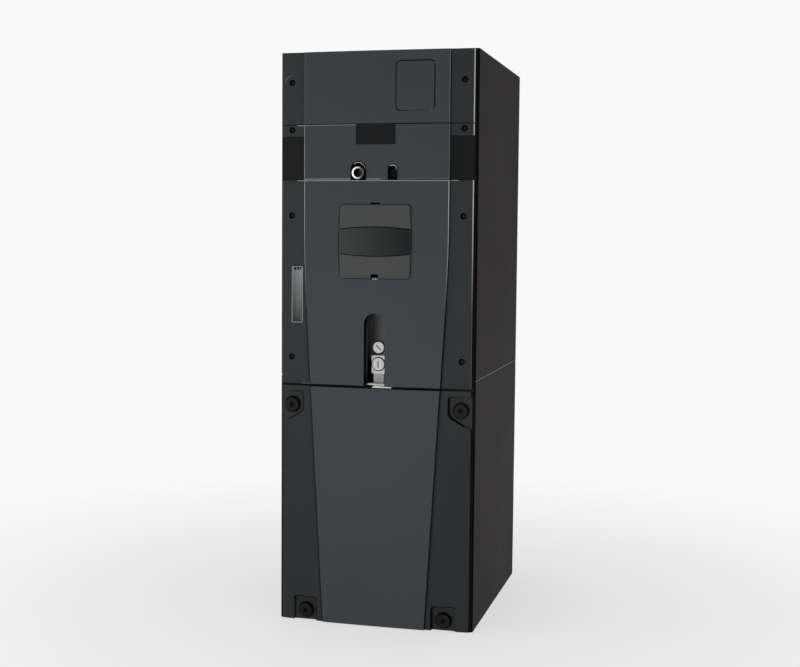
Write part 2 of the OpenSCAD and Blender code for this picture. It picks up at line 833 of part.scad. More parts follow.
// The cover is a thin pan with a raised belt across it and a notch over the tongue
module badge_cover() {
    belt_r = arc_radius(badge_w / 2, band_bulge);
    belt_drop = belt_r - band_low_half - band_bulge;
    color(dark_plastic) placed() difference() {
        union() {
            front_slab(badge_front_y + badge_edge, badge_back_y) badge_outline();
            front_slab(badge_front_y, badge_front_y + badge_edge) badge_outline(-badge_edge);
            front_slab(badge_front_y - badge_band_proud, badge_front_y + badge_edge) intersection() {
                badge_outline(-badge_edge / 2);
                for_both(belt_drop) circle(r = belt_r, $fn = big_fn);
            }
        }
        front_slab(badge_front_y + panel_wall, badge_back_y + eps) badge_outline(-2 * badge_edge);
        front_slab(-reach, badge_back_y + eps)
            translate([-notch_low_w / 2, badge_z - badge_h / 2 - eps]) square([notch_low_w, 10]);
    }
}

// Breaker cover: a piece of the centre zone's own surface on two hinge barrels

cover_t = 3.2;

module breaker_cover() {
    half = breaker_w / 2 - breaker_gap;
    color(dark_plastic) placed() difference() {
        union() {
            intersection() {
                difference() {
                    crown_block(heater_low_z, heater_top_z);
                    crown_block(heater_low_z - 1, heater_top_z + 1, cover_t);
                }
                front_slab(-reach, reach) breaker_outline(-breaker_gap);
            }
            for (side = [-1, 1]) translate([breaker_x + side * (half - 17), 0, 0])
                bar_x(hinge_y, hinge_z, barrel_r, -6, 6);
        }
        bar_x(hinge_y, hinge_z, hinge_pin_r + run_gap, breaker_x - half, breaker_x + half);
    }
}

module breaker_cover_pin() {
    color(steel) placed()
        bar_x(hinge_y, hinge_z, hinge_pin_r, breaker_x - hinge_pin_half, breaker_x + hinge_pin_half);
}

// Blower panel and its quarter-turn knobs

pocket_top_in = 26.5;
pocket_low_in = 26.4;

// Front view of an upper pocket: straight inner side, then a slant out to the panel's edge
module top_pocket(side) {
    inner = knob_top_x - pocket_top_in;
    outer = panel_w / 2 + 1;
    top = knob_top_z + 29;
    polygon([
        [side * (inner + 5), top], [side * outer, top], [side * outer, knob_top_z - 42.5],
        [side * (inner + 20), knob_top_z - 25], [side * (inner + 5), knob_top_z - 16],
        [side * inner, knob_top_z - 8], [side * inner, top - 5], [side * (inner + 1.5), top - 1.5]]);
}

// Front view of a lower pocket: square, with rounded upper corners, open at the bottom
module low_pocket(side) {
    top = knob_low_z + 30.5;
    translate([side * knob_low_x, top - 35]) round_rect(2 * pocket_low_in, 70, 7);
}

module blower_panel() {
    color(dark_plastic) placed() difference() {
        panel_form(blower_low_z, blower_top_z);
        for (side = [-1, 1]) {
            front_slab(-reach, pocket_y) top_pocket(side);
            front_slab(-reach, pocket_y) low_pocket(side);
        }
        for (p = knob_places) bar_y(p[0], p[1], stud_r + run_gap, -reach, rim_y + eps);
    }
}

module blower_liner() {
    color(foam) placed() intersection() {
        liner_form(blower_low_z, blower_top_z, windows[0]);
        block([-window_w / 2 + 1, -reach, 0], [window_w / 2 - 1, liner_back_y, cabinet_h]);
    }
}

// A knob: flange, ribbed grip with a drive socket, and a stud that turns in its receiver
knob_face_y = -6.5;
stud_end_y = frame_back_y + 5;

module knob(place) {
    x = place[0];
    z = place[1];
    color(black) placed() difference() {
        union() {
            bar_y(x, z, knob_flange_r, pocket_y - part_gap - 2.5, pocket_y - part_gap);
            bar_y(x, z, knob_r, knob_face_y + 1, pocket_y - part_gap);
            bar_y(x, z, knob_r - 1, knob_face_y, pocket_y - part_gap);
            bar_y(x, z, stud_r, pocket_y - part_gap, stud_end_y);
        }
        for (k = [0:11]) translate([x, 0, z]) rotate([0, 30 * k, 0])
            bar_y(knob_r + 0.6, 0, 1.8, knob_face_y - 1, pocket_y - part_gap - 2.5);
        translate([x, knob_face_y + 4, z]) rotate([90, 0, 0]) cylinder(r = 4.6, h = 5, $fn = 6);
        block([x - 1, stud_end_y - 4, z - stud_r - 1], [x + 1, stud_end_y + 1, z + stud_r + 1]);
    }
}

module knob_top_left() { knob(knob_places[0]); }
module knob_top_right() { knob(knob_places[1]); }
module knob_low_left() { knob(knob_places[2]); }
module knob_low_right() { knob(knob_places[3]); }

// Cups behind the frame that the studs lock into
receiver_r = 7.4;
receiver_back_y = stud_end_y + 3;

module knob_receivers() {
    color(steel) placed() for (p = knob_places) difference() {
        bar_y(p[0], p[1], receiver_r, frame_back_y, receiver_back_y);
        bar_y(p[0], p[1], receiver_bore_r, frame_back_y - 1, stud_end_y + 1);
    }
}

// Drain pan, its fitting and the plugs

pan_side_gap = 12;
pan_back_gap = 10;
mouth_rim_x = 21;
mouth_rim_y = 44;
pan_half = inner_w / 2 - pan_side_gap;
// The coil's slabs stand in the pan, just inside its side walls
coil_side_gap = 3.25;
coil_foot_x = pan_half - pan_t - coil_side_gap - slab_t;
pan_front_y = 45;
pan_back_y = back_in_y - pan_back_gap;
pan_mouth_half = coil_foot_x - mouth_rim_x;
pan_mouth_front_y = 96;
pan_mouth_back_y = back_in_y - mouth_rim_y;
pan_rim_h = 26;
column_half = 16;
column_top_z = slot_top_z - 6;
boss_y = 24;
fitting_y = 22;
seal_high_r = 15.2;
seal_low_r = 15.9;
fitting_top_z = (plug_high_z - seal_high_r + plug_low_z + seal_low_r) / 2;
fitting_rise = 7.5;
nipple_drop = 4;
fitting_low_z = seam_z + fitting_rise;
nipple_z = seam_z - nipple_drop;
thread_r = 11.5;
thread_end_y = 42;

// Front view of the drain column from a height up to its rounded top
module column_outline(z0) {
    shoulder_z = column_top_z - column_half;
    translate([0, shoulder_z]) circle(r = column_half);
    translate([-column_half, z0]) square([2 * column_half, shoulder_z - z0]);
}

module drain_pan() {
    color(band_plastic) placed() difference() {
        union() {
            difference() {
                block([-pan_half, pan_front_y, deck_top_z], [pan_half, pan_back_y, deck_top_z + pan_h]);
                block([-pan_half + pan_t, pan_front_y + pan_t, deck_top_z + pan_t],
                      [pan_half - pan_t, pan_back_y - pan_t, deck_top_z + pan_h + eps]);
            }
            block([-pan_mouth_half - pan_t, pan_mouth_front_y - pan_t, deck_top_z],
                  [pan_mouth_half + pan_t, pan_mouth_back_y + pan_t, deck_top_z + pan_rim_h]);
            front_slab(column_y, pan_front_y + pan_t) column_outline(deck_top_z);
            front_slab(boss_y, column_y + eps) column_outline(fitting_top_z);
        }
        block([-pan_mouth_half, pan_mouth_front_y, deck_top_z - eps],
              [pan_mouth_half, pan_mouth_back_y, deck_top_z + pan_h]);
        bar_y(0, plug_high_z, thread_r + run_gap, boss_y - eps, thread_end_y);
        bar_y(0, plug_low_z, thread_r + run_gap, column_y - eps, thread_end_y);
    }
}

// The pale fitting: a block round the lower drain, a foot with a small nipple and a stepped lip
module drain_fitting() {
    foot_half = 11.7;
    color(white_plastic) placed() difference() {
        union() {
            block([-column_half, fitting_y, fitting_low_z], [column_half, column_y, fitting_top_z]);
            block([-foot_half, fitting_y + 2, coil_low_z + 3], [foot_half, column_y, fitting_low_z + eps]);
            bar_y(0, nipple_z, 4.6, fitting_y - 1, fitting_y + 3);
            block([-22, 8, coil_low_z], [19, column_y, coil_low_z + 3 + eps]);
            block([-6, -8, blower_top_z + 1], [19, 8 + eps, coil_low_z - 1]);
            block([-6, 5, blower_top_z + 1], [19, 8 + eps, coil_low_z + 3]);
            block([-6, -8, blower_top_z + 1], [37, panel_stand - fit_gap, coil_low_z - 1]);
        }
        bar_y(0, plug_low_z, thread_r + run_gap, fitting_y - eps, column_y + eps);
        bar_y(0, nipple_z, 2.2, fitting_y - 1 - eps, fitting_y + 2);
    }
}

plug_slot_w = 2.2;

module plug(z, head_r, face_y, turn) {
    seal = 1.5;
    difference() {
        union() {
            bar_y(0, z, head_r, face_y, face_y + 2.5);
            bar_y(0, z, thread_r, face_y + 2, thread_end_y - 1);
        }
        translate([0, face_y, z]) rotate([0, turn, 0])
            block([-plug_slot_w / 2, -1, -7], [plug_slot_w / 2, 1.2, 7]);
    }
}

module drain_plugs() {
    color(white_plastic) placed() {
        plug(plug_high_z, 12.6, boss_y - 4, -45);
        plug(plug_low_z, 13.8, fitting_y - 4, 0);
    }
}

module seal_ring(z, r, y1) {
    difference() {
        bar_y(0, z, r, y1 - 1.5, y1);
        bar_y(0, z, thread_r + run_gap, y1 - 2, y1 + 1);
    }
}

module drain_seals() {
    color(black) placed() {
        seal_ring(plug_high_z, seal_high_r, boss_y);
        seal_ring(plug_low_z, seal_low_r, fitting_y);
    }
}

// A-shaped coil

coil_front_y = 82;
coil_foot_z = deck_top_z + pan_t;
coil_apex_z = lineset_split_z - coil_headroom;
coil_d = back_in_y - coil_back_gap - coil_front_y;
end_plate_t = 2;

// Each slab leans from its foot beside the pan's mouth to the gap at the top
coil_lean = atan((coil_foot_x - coil_apex_x) / (coil_apex_z - coil_foot_z));
slab_l = (coil_apex_z - coil_foot_z) / cos(coil_lean);

// Moves a child from the slab's own frame to the leaning place: x out, z up the slope
module leaning(side) {
    mirror([side < 0 ? 1 : 0, 0, 0])
        translate([coil_foot_x, 0, coil_foot_z]) rotate([0, -coil_lean, 0]) children();
}

// Plan of a fin pack: a tube core with fins on both faces
module fin_pack_plan() {
    count = floor(coil_d / fin_pitch);
    fin_t = fin_pitch * 0.45;
    translate([fin_h, coil_front_y]) square([slab_t - 2 * fin_h, coil_d]);
    for (i = [0:count - 1])
        translate([0, coil_front_y + (i + 0.5) * coil_d / count - fin_t / 2]) square([slab_t, fin_t]);
    for (y = [coil_front_y, coil_front_y + coil_d - fin_t])
        translate([0, y]) square([slab_t, fin_t]);
}

module coil_slab(side) {
    color(aluminium) placed() leaning(side) linear_extrude(slab_l) fin_pack_plan();
}

module coil_left_slab() { coil_slab(-1); }
module coil_right_slab() { coil_slab(1); }

// Sheet metal across both ends of the slabs, and the cap that joins them over the apex
module coil_plates() {
    out_x = slab_t * cos(coil_lean);
    out_z = slab_t * sin(coil_lean);
    outline = [
        [coil_foot_x, coil_foot_z], [coil_foot_x + out_x, coil_foot_z + out_z],
        [coil_apex_x + out_x, coil_apex_z + out_z]];
    color(steel) placed() {
        for (y = [coil_front_y - end_plate_t, coil_front_y + coil_d])
            front_slab(y, y + end_plate_t) polygon(concat(
                outline, [for (i = [2:-1:0]) [-outline[i][0], outline[i][1]]]));
        front_slab(coil_front_y - end_plate_t, coil_front_y + coil_d + end_plate_t) apex_cap();
    }
}

cap_w = 20;
cap_t = 2;

// End view of the cap: it lies on the tops of both slabs and bridges the gap between them
module apex_cap() {
    low = coil_apex_z + 0.05;
    rise = cap_w * tan(coil_lean);
    polygon([
        [-coil_apex_x - cap_w, low + rise], [-coil_apex_x, low], [coil_apex_x, low],
        [coil_apex_x + cap_w, low + rise], [coil_apex_x + cap_w, low + rise + cap_t],
        [coil_apex_x, low + cap_t], [-coil_apex_x, low + cap_t],
        [-coil_apex_x - cap_w, low + rise + cap_t]]);
}

half_row = 10;
bend_rows = [slab_t / 2 - half_row, slab_t / 2 + half_row];
bend_start = 2.25;
bend_count = floor((slab_l / tube_pitch - bend_start) / 2);

// Return bends join neighbouring tubes in pairs at both ends
module coil_return_bends() {
    color(copper) placed() for (side = [-1, 1], row = bend_rows, i = [0:bend_count - 1], end = [0, 1])
        leaning(side)
            translate([row, end == 0 ? coil_front_y - end_plate_t : coil_front_y + coil_d + end_plate_t,
                       tube_pitch * (2 * i + bend_start)])
                rotate([0, 90, 0]) rotate([0, 0, end == 0 ? 180 : 0])
                    rotate_extrude(angle = 180, $fn = 32)
                        translate([tube_pitch / 2, 0]) circle(r = tube_r);
}

// Refrigerant lines

suction_front_y = -crown_rise - stub_reach;
line_bend_y = 34;
suction_bend = 24;
liquid_bend = 20;
suction_inner_r = 10;
feeder_heights = [coil_apex_z - 10, coil_apex_z - 24];
header_low_z = feeder_heights[1] - 12;
feeder_r = tube_r;

// An elbow from the +Y direction down to -Z, starting at y0
module elbow(x, y0, z, bend, r) {
    translate([x, y0, z - bend]) rotate([0, -90, 0])
        rotate_extrude(angle = 90, $fn = 32) translate([bend, 0]) circle(r = r);
}

module suction_line() {
    header_y = line_bend_y + suction_bend;
    color(copper) placed() difference() {
        union() {
            bar_y(-line_x, line_z, suction_r, suction_front_y, line_bend_y - 6);
            bar_y(-line_x, line_z, suction_inner_r + 1.1, line_bend_y - 7, line_bend_y);
            elbow(-line_x, line_bend_y, line_z, suction_bend, suction_inner_r + 1.1);
            translate([-line_x, header_y, header_low_z])
                cylinder(r = suction_inner_r + 1.1, h = line_z - suction_bend - header_low_z);
            for (z = feeder_heights) bar_y(-line_x, z, feeder_r, header_y, coil_front_y - end_plate_t);
        }
        bar_y(-line_x, line_z, suction_bore_r, suction_front_y - 1, line_bend_y - 8);
        bar_y(-line_x, line_z, suction_inner_r - 2, line_bend_y - 9, line_bend_y - 1);
    }
}

liquid_front_y = 2;
valve_drop = 73;
valve_z = line_z - valve_drop;
valve_y = line_bend_y + liquid_bend - 8;

module liquid_line() {
    color(copper) placed() difference() {
        union() {
            bar_y(line_x, line_z, liquid_r, liquid_front_y, line_bend_y - 14);
            bar_y(line_x, line_z, tube_r, line_bend_y - 15, line_bend_y - 8);
            elbow(line_x, line_bend_y - 8, line_z, liquid_bend, tube_r);
            translate([line_x, valve_y, valve_z + 24])
                cylinder(r = tube_r, h = line_z - liquid_bend - valve_z - 24);
        }
        bar_y(line_x, line_z, liquid_bore_r, liquid_front_y - 1, line_bend_y - 16);
    }
}

// Metering valve with its power head, and feeder tubes down to the slab
module metering_valve() {
    color([0.78, 0.62, 0.30]) placed() {
        translate([line_x, valve_y, valve_z]) cylinder(r = 13, h = 24, $fn = 6);
        translate([line_x, valve_y, valve_z - 10]) cylinder(r1 = 6, r2 = 11, h = 10, $fn = 32);
        bar_y(line_x, valve_z + 12, 9, valve_y + 10, valve_y + 22);
        for (z = feeder_heights) bar_y(line_x, z, 3, valve_y, coil_front_y - end_plate_t);
        translate([line_x, valve_y, feeder_heights[1] - 4]) cylinder(r = 5, h = valve_z - feeder_heights[1]);
    }
}

// Filter in its rails

rail_t = 2;
filter_z = base_h + 8.2;
filter_front_y = 34;
filter_l = back_in_y - filter_front_y - filter_back_gap;
filter_half = inner_w / 2 - 5;
filter_wall = 3;

// The filter's block, smaller by a margin at the sides and by another at top and bottom
module filter_block(side, end) {
    block([-filter_half + side, filter_front_y + side, filter_z + end],
          [filter_half - side, filter_front_y + filter_l - side, filter_z + filter_t - end]);
}

module filter_frame() {
    color([0.72, 0.60, 0.45]) placed() difference() {
        filter_block(0, 0);
        filter_block(18, -eps);
        filter_block(filter_wall, 1.5);
    }
}

// Pleated media: one zigzag sheet, folded along the depth
module filter_media() {
    pleats = 18;
    half = filter_half - filter_wall - fit_gap;
    low = filter_z + 2;
    high = filter_z + filter_t - 4;
    paper = 1.5;
    pitch = 2 * half / pleats;
    points = [for (i = [0:2 * pleats]) [-half + i * pitch / 2, i % 2 == 0 ? low : high]];
    color([0.88, 0.88, 0.84]) placed()
        front_slab(filter_front_y + filter_wall + fit_gap, filter_front_y + filter_l - filter_wall - fit_gap)
            polygon(concat(points, [for (i = [2 * pleats:-1:0]) points[i] + [0, paper]]));
}

// Two rails for the filter, and two under the deck that the blower's flanges slide into
module slide_rails() {
    color(steel) placed() for (side = [-1, 1]) mirror([side < 0 ? 1 : 0, 0, 0]) {
        filter_rail();
        blower_rail();
    }
}

module filter_rail() {
    x1 = inner_w / 2;
    difference() {
        block([x1 - 15, filter_front_y, filter_z - rail_t - 0.2],
              [x1, filter_front_y + filter_l, filter_z + filter_t + rail_t + 0.5]);
        block([x1 - 16, filter_front_y - 1, filter_z - 0.2],
              [x1 - 3, filter_front_y + filter_l + 1, filter_z + filter_t + 0.5]);
    }
}

module blower_rail() {
    x0 = outer_half + 4;
    x1 = outer_half + flange_w + 3;
    block([x1 - 2, outlet_front_y, flange_z - 3.2], [x1, outlet_back_y, deck_low_z]);
    block([x0, outlet_front_y, flange_z - 3.2], [x1, outlet_back_y, flange_z - 1.2]);
}

// Blower

outer_half = housing_half + sheet_t;
inlet_r = wheel_r - blade_depth - 4;
spiral_steps = 30;

// The scroll's radius grows evenly through three quarters of a turn from the cut-off
function spiral_r(t) = wheel_r + cutoff_gap + scroll_growth * t;
function spiral_point(t, extra) =
    let (a = 90 + 270 * t) [(spiral_r(t) + extra) * cos(a), (spiral_r(t) + extra) * sin(a)];

// Side view of the scroll with its outlet neck, about the axis: y to the right, z up
module scroll_outline(extra) {
    top = deck_low_z - blower_z;
    polygon(concat(
        [for (i = [1:spiral_steps]) spiral_point(i / spiral_steps, extra)],
        [[spiral_r(1) + extra, top], [-extra, top], [-extra, spiral_r(0) + extra]]));
}

// Stands a side view outline upright, from x0 to x1
module side_slab(x0, x1) {
    translate([x0, blower_y, blower_z]) rotate([90, 0, 90]) linear_extrude(x1 - x0) children();
}

flange_w = 15;
flange_z = deck_low_z - 7.5;

flange_t = 1.7;
inlet_collar = 8;
collar_proud = 3;
// The wrap stops just short of the two sides that it is crimped to
crimp_gap = 0.1;

// Wrap of the scroll: one sheet bent round the wheel, open at the neck
module scroll_wrap() {
    difference() {
        side_slab(crimp_gap - housing_half, housing_half - crimp_gap) scroll_outline(sheet_t);
        side_slab(-housing_half, housing_half) scroll_outline(0);
        block([-housing_half, outlet_front_y, deck_low_z - 1], [housing_half, outlet_back_y, deck_low_z + 1]);
    }
}

// A side of the scroll, with its inlet collar and the flange that hangs in the rail
module scroll_side() {
    difference() {
        union() {
            side_slab(housing_half, outer_half) scroll_outline(sheet_t);
            block([housing_half, outlet_front_y, flange_z - flange_t / 2],
                  [outer_half + flange_w, outlet_back_y, flange_z + flange_t / 2]);
            bar_x(blower_y, blower_z, inlet_r + inlet_collar, housing_half, outer_half + collar_proud);
        }
        bar_x(blower_y, blower_z, inlet_r, housing_half - 10, outer_half + 10);
    }
}

module blower_housing() {
    color(steel) placed() {
        scroll_wrap();
        for (side = [-1, 1]) mirror([side < 0 ? 1 : 0, 0, 0]) scroll_side();
    }
}

hub_x = 12;
hub_t = 4;
hub_r = 20;
hub_half = 12;
ring_t = 3;
// Inset of the blades from both edges of the rings
blade_edge = 0.5;
// How far the shaft ends beyond its hub
shaft_past_hub = 2;

// A forward-curved blade: a crescent between two arcs, leaning into the turn
module blade_plan() {
    inner = wheel_r - blade_depth;
    curve_r = blade_depth * 0.72;
    thick = 1.4;
    intersection() {
        translate([inner + blade_depth * 0.44, -curve_r * 0.82]) difference() {
            circle(r = curve_r + thick);
            circle(r = curve_r);
        }
        translate([inner + blade_edge, -blade_depth])
            square([blade_depth - 2 * blade_edge, 2 * blade_depth]);
    }
}

// Each blade ends just short of the ring that it is crimped to
blade_gap = 0.1;
wheel_half = wheel_w / 2;

module wheel_blades() {
    color(steel) placed() for (k = [0:blade_count - 1])
        side_slab(-wheel_half + ring_t + blade_gap, wheel_half - ring_t - blade_gap)
            rotate(k * 360 / blade_count) blade_plan();
}

module wheel_rings() {
    color(steel) placed() for (x = [-wheel_half, wheel_half - ring_t]) difference() {
        bar_x(blower_y, blower_z, wheel_r, x, x + ring_t);
        bar_x(blower_y, blower_z, wheel_r - blade_depth, x - 1, x + ring_t + 1);
    }
}

// The disc carries the blades half way along, and its hub sits on the shaft
module wheel_hub() {
    disc_r = wheel_r - blade_depth + blade_edge - blade_gap;
    color(steel) placed() difference() {
        union() {
            bar_x(blower_y, blower_z, disc_r, hub_x - hub_t / 2, hub_x + hub_t / 2);
            bar_x(blower_y, blower_z, hub_r, hub_x - hub_half, hub_x + hub_half);
        }
        bar_x(blower_y, blower_z, shaft_r, hub_x - hub_half - 1, hub_x + hub_half + 1);
    }
}

motor_out_x = -(outer_half + 38);
motor_in_x = motor_out_x + motor_l;
shaft_in_motor = 40;

module motor_shaft() {
    color(aluminium) placed()
        bar_x(blower_y, blower_z, shaft_r, motor_in_x - shaft_in_motor, hub_x + hub_half + shaft_past_hub);
}

// Motor: a ribbed can with end bells, bored for the shaft
module motor_body() {
    color(band_plastic) placed() difference() {
        union() {
            bar_x(blower_y, blower_z, motor_r, motor_out_x + 8, motor_in_x - 8);
            bar_x(blower_y, blower_z, motor_r - 6, motor_out_x, motor_in_x);
            bar_x(blower_y, blower_z, 14, motor_in_x - 1, motor_in_x + 5);
        }
        bar_x(blower_y, blower_z, shaft_r + run_gap, motor_in_x - shaft_in_motor - eps, motor_in_x + 6);
        for (k = [0:11]) translate([motor_in_x - 3, blower_y, blower_z]) rotate([30 * k, 0, 0])
            block([0, -3, motor_r - 34], [10, 3, motor_r - 14]);
    }
}

band_inset = 16;
arm_past_inlet = 16;

// Belly band round the motor and three arms out to the housing's side
module motor_mount() {
    band_x = motor_out_x + band_inset;
    arm_out = inlet_r + arm_past_inlet;
    color(steel) placed() {
        difference() {
            bar_x(blower_y, blower_z, motor_r + 2.5, band_x - 10, band_x + 10);
            bar_x(blower_y, blower_z, motor_r, band_x - 11, band_x + 11);
            for (k = [0:2]) translate([0, blower_y, blower_z]) rotate([30 + 120 * k, 0, 0])
                block([band_x - 12, -8, motor_r + 1.2], [band_x + 12, 8, motor_r + 5]);
        }
        for (k = [0:2]) translate([0, blower_y, blower_z]) rotate([30 + 120 * k, 0, 0]) {
            block([band_x - 8, -8, motor_r + 1.2], [band_x - 4, 8, arm_out]);
            block([band_x - 8, -8, arm_out - 4], [-outer_half, 8, arm_out]);
        }
    }
}

// Controls in front of the blower, hung from the deck

control_y = 48;
control_d = 44;
control_half = 128;
control_h = 112;
control_low_z = deck_low_z - control_h;

module control_box() {
    color(steel) placed() {
        difference() {
            block([-control_half, control_y, control_low_z],
                  [control_half, control_y + control_d, deck_low_z]);
            block([-control_half + sheet_t, control_y - eps, control_low_z + sheet_t],
                  [control_half - sheet_t, control_y + control_d - sheet_t, deck_low_z - sheet_t]);
        }
        for (x = [-100, -10], z = [control_low_z + 20, deck_low_z - 22])
            bar_y(x, z, 3, control_y + control_d - sheet_t - 8, control_y + control_d - sheet_t);
    }
}

board_y = control_y + control_d - sheet_t - 8 - 1.6;
board_w = 110;

module control_board() {
    color([0.10, 0.35, 0.20]) placed() {
        block([-board_w, board_y, control_low_z + 12], [0, board_y + 1.6, deck_low_z - 14]);
        for (i = [0:2])
            block([-100 + i * 30, board_y - 16, deck_low_z - 50], [-80 + i * 30, board_y, deck_low_z - 24]);
        for (x = [-102:16:-22])
            block([x, board_y - 8, control_low_z + 18], [x + 10, board_y, control_low_z + 28]);
        bar_y(-30, control_low_z + 50, 9, board_y - 22, board_y);
    }
}

module transformer() {
    back = control_y + control_d - sheet_t;
    color(black) placed() {
        block([40, back - 30, control_low_z + 22], [100, back, control_low_z + 76]);
        block([52, back - 38, control_low_z + 32], [88, back - 30, control_low_z + 66]);
    }
}

// Electric heater and breakers

plate_y = liner_back_y + 2;
plate_margin = 30;
element_margin = 30;
element_pitch = 35;
plate_half = window_w / 2 - plate_margin;
element_xs = [for (i = [0:3]) element_margin - plate_half + element_pitch * i];
element_low_z = windows[3][0] + 40;
element_gap = 26;
support_y = plate_y + 170;
breaker_front_y = 14;
breaker_back_y = 62;
breaker_half = 18.4;
breaker_tall = 42.5;
pole_xs = [breaker_x - 18.8, breaker_x + 18.8];
handle_y = breaker_front_y + 5;
handle_r = 5.2;
handle_half = 12;

// The plate carries elements and breakers; the support holds the elements half way along
module heater_plates() {
    color(steel) placed() {
        difference() {
            block([-plate_half, plate_y, windows[3][0]], [plate_half, plate_y + 2, cabinet_h - top_t]);
            block([pole_xs[0] - breaker_half - fit_gap, plate_y - 1, breaker_z - breaker_tall - fit_gap],
                  [pole_xs[1] + breaker_half + fit_gap, plate_y + 3, breaker_z + breaker_tall + fit_gap]);
        }
        difference() {
            block([element_xs[0] - 15, support_y, element_low_z - 15],
                  [element_xs[3] + 15, support_y + 2, element_low_z + element_gap + 15]);
            for (x = element_xs, s = [0, 1])
                bar_y(x, element_low_z + s * element_gap, element_r + 0.1, support_y - 1, support_y + 3);
        }
    }
}

// Hairpin elements, each a pair of rods joined by a bend at the far end
module heater_elements() {
    color([0.45, 0.43, 0.42]) placed() for (x = element_xs) {
        for (s = [0, 1])
            bar_y(x, element_low_z + s * element_gap, element_r, plate_y + 2, plate_y + element_l);
        translate([x, plate_y + element_l, element_low_z + element_gap / 2]) rotate([0, 90, 0])
            rotate_extrude(angle = 180, $fn = 32) translate([element_gap / 2, 0]) circle(r = element_r);
    }
}

module breaker_bodies() {
    color(black) placed() for (x = pole_xs) {
        difference() {
            block([x - breaker_half, breaker_front_y, breaker_z - breaker_tall],
                  [x + breaker_half, breaker_back_y, breaker_z + breaker_tall]);
            block([x - handle_half - 0.6, breaker_front_y - 1, breaker_z - 12],
                  [x + handle_half + 0.6, breaker_front_y + 14, breaker_z + 12]);
        }
        bar_x(handle_y + 2, breaker_z, 1.5, x - breaker_half + 2, x + breaker_half - 2);
    }
}

handle_rest = 20;

// A handle turns on the breaker's own pin; it rests thrown up
module breaker_handle(x) {
    color(dark_plastic) placed() translate([x, handle_y + 2, breaker_z]) rotate([-handle_rest, 0, 0])
        difference() {
            union() {
                bar_x(0, 0, handle_r, -handle_half, handle_half);
                block([-handle_half, -14, -2.6], [handle_half, 0, 2.6]);
            }
            bar_x(0, 0, 1.5 + run_gap, -handle_half - 1, handle_half + 1);
        }
}

module breaker_handle_left() { breaker_handle(pole_xs[0]); }
module breaker_handle_right() { breaker_handle(pole_xs[1]); }

base_frame();
lower_left_wall();
lower_right_wall();
lower_back_wall();
blower_deck();
seam_gasket();
upper_left_wall();
upper_right_wall();
upper_back_wall();
top_frame();
front_frame();
panel_gaskets();
heater_panel();
heater_liner();
lineset_panel();
lineset_liner();
coil_panel();
coil_liner();
panel_screws();
side_bezel();
badge_latch();
drain_pan();
drain_fitting();
drain_plugs();
drain_seals();
coil_left_slab();
coil_right_slab();
coil_plates();
coil_return_bends();
suction_line();
liquid_line();
metering_valve();
filter_frame();
filter_media();
slide_rails();
blower_housing();
motor_mount();
motor_body();
control_box();
control_board();
transformer();
heater_plates();
heater_elements();
breaker_bodies();
breaker_cover_pin();
knob_receivers();
wheel_blades();
wheel_rings();
wheel_hub();
motor_shaft();
blower_panel();
blower_liner();
knob_top_left();
knob_top_right();
knob_low_left();
knob_low_right();
badge_cover();
breaker_cover();
breaker_handle_left();
breaker_handle_right();
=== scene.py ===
# %% [markdown]
# # Dressing an upright air handler
# The object is a tall cabinet of two stacked boxes behind four dark moulded panels. Its engineering
# model is loaded first and never moves. This notebook gives every piece its finish, rounds the
# edges that catch light, and models the small fittings by hand.

# %% The fixed frame
import json
import math

import bmesh
import bpy
from mathutils import Matrix, Vector


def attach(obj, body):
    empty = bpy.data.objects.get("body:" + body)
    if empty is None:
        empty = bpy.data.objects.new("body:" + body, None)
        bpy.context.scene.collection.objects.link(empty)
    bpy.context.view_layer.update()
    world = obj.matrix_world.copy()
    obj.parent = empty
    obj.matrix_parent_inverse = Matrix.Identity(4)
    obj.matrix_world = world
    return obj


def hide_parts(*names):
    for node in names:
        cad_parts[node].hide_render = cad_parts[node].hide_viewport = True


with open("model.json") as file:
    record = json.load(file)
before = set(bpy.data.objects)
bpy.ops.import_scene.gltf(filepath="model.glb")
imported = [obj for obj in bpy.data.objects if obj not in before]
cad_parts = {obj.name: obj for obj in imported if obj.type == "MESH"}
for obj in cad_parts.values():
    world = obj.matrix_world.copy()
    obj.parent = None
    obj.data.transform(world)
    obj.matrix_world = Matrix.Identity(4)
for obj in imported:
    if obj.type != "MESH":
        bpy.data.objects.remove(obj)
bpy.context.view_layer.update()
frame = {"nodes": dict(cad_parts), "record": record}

NODES = frame["nodes"]
SLOT_OF = {row["node"]: row["material_slot"] for row in frame["record"]["subparts"]}
MM = 0.001
# The plane of the panels' outer edge; places along Y are given from it, in millimetres
EDGE_Y = -0.25875
print("nodes", len(NODES), "slots", len(set(SLOT_OF.values())))


def add_object(name, data):
    thing = bpy.data.objects.new(name, data)
    bpy.context.scene.collection.objects.link(thing)
    return thing


# %% [markdown]
# ## Camera
# The photograph was taken from the right of the middle, a little under three metres away, from
# two thirds of the cabinet's height, looking slightly down. The camera's axes are written out as
# three directions, so that no rotation has to be guessed.

# %% Camera at the photograph's angle
camera_data = bpy.data.cameras.new("portrait_camera")
camera = add_object("portrait_camera", camera_data)
camera_data.sensor_width = 36.0
camera_data.lens = 58.9416
RIGHT = Vector((0.96845, 0.24905, 0.00861))
DOWN = Vector((0.02704, -0.07068, -0.99713))
AHEAD = Vector((-0.24773, 0.96591, -0.07518))
PLACE = (0.76279, -2.7629 + EDGE_Y, 0.86961)
CABINET_MIDDLE = Vector((0, 0, 0.63))
camera.matrix_world = Matrix([(RIGHT[i], -DOWN[i], -AHEAD[i], PLACE[i]) for i in range(3)] + [(0, 0, 0, 1)])
bpy.context.scene.camera = camera
bpy.context.scene.view_settings.view_transform = "Standard"
print("lens", round(camera_data.lens, 2), "mm, distance", round((camera.location - CABINET_MIDDLE).length, 3))

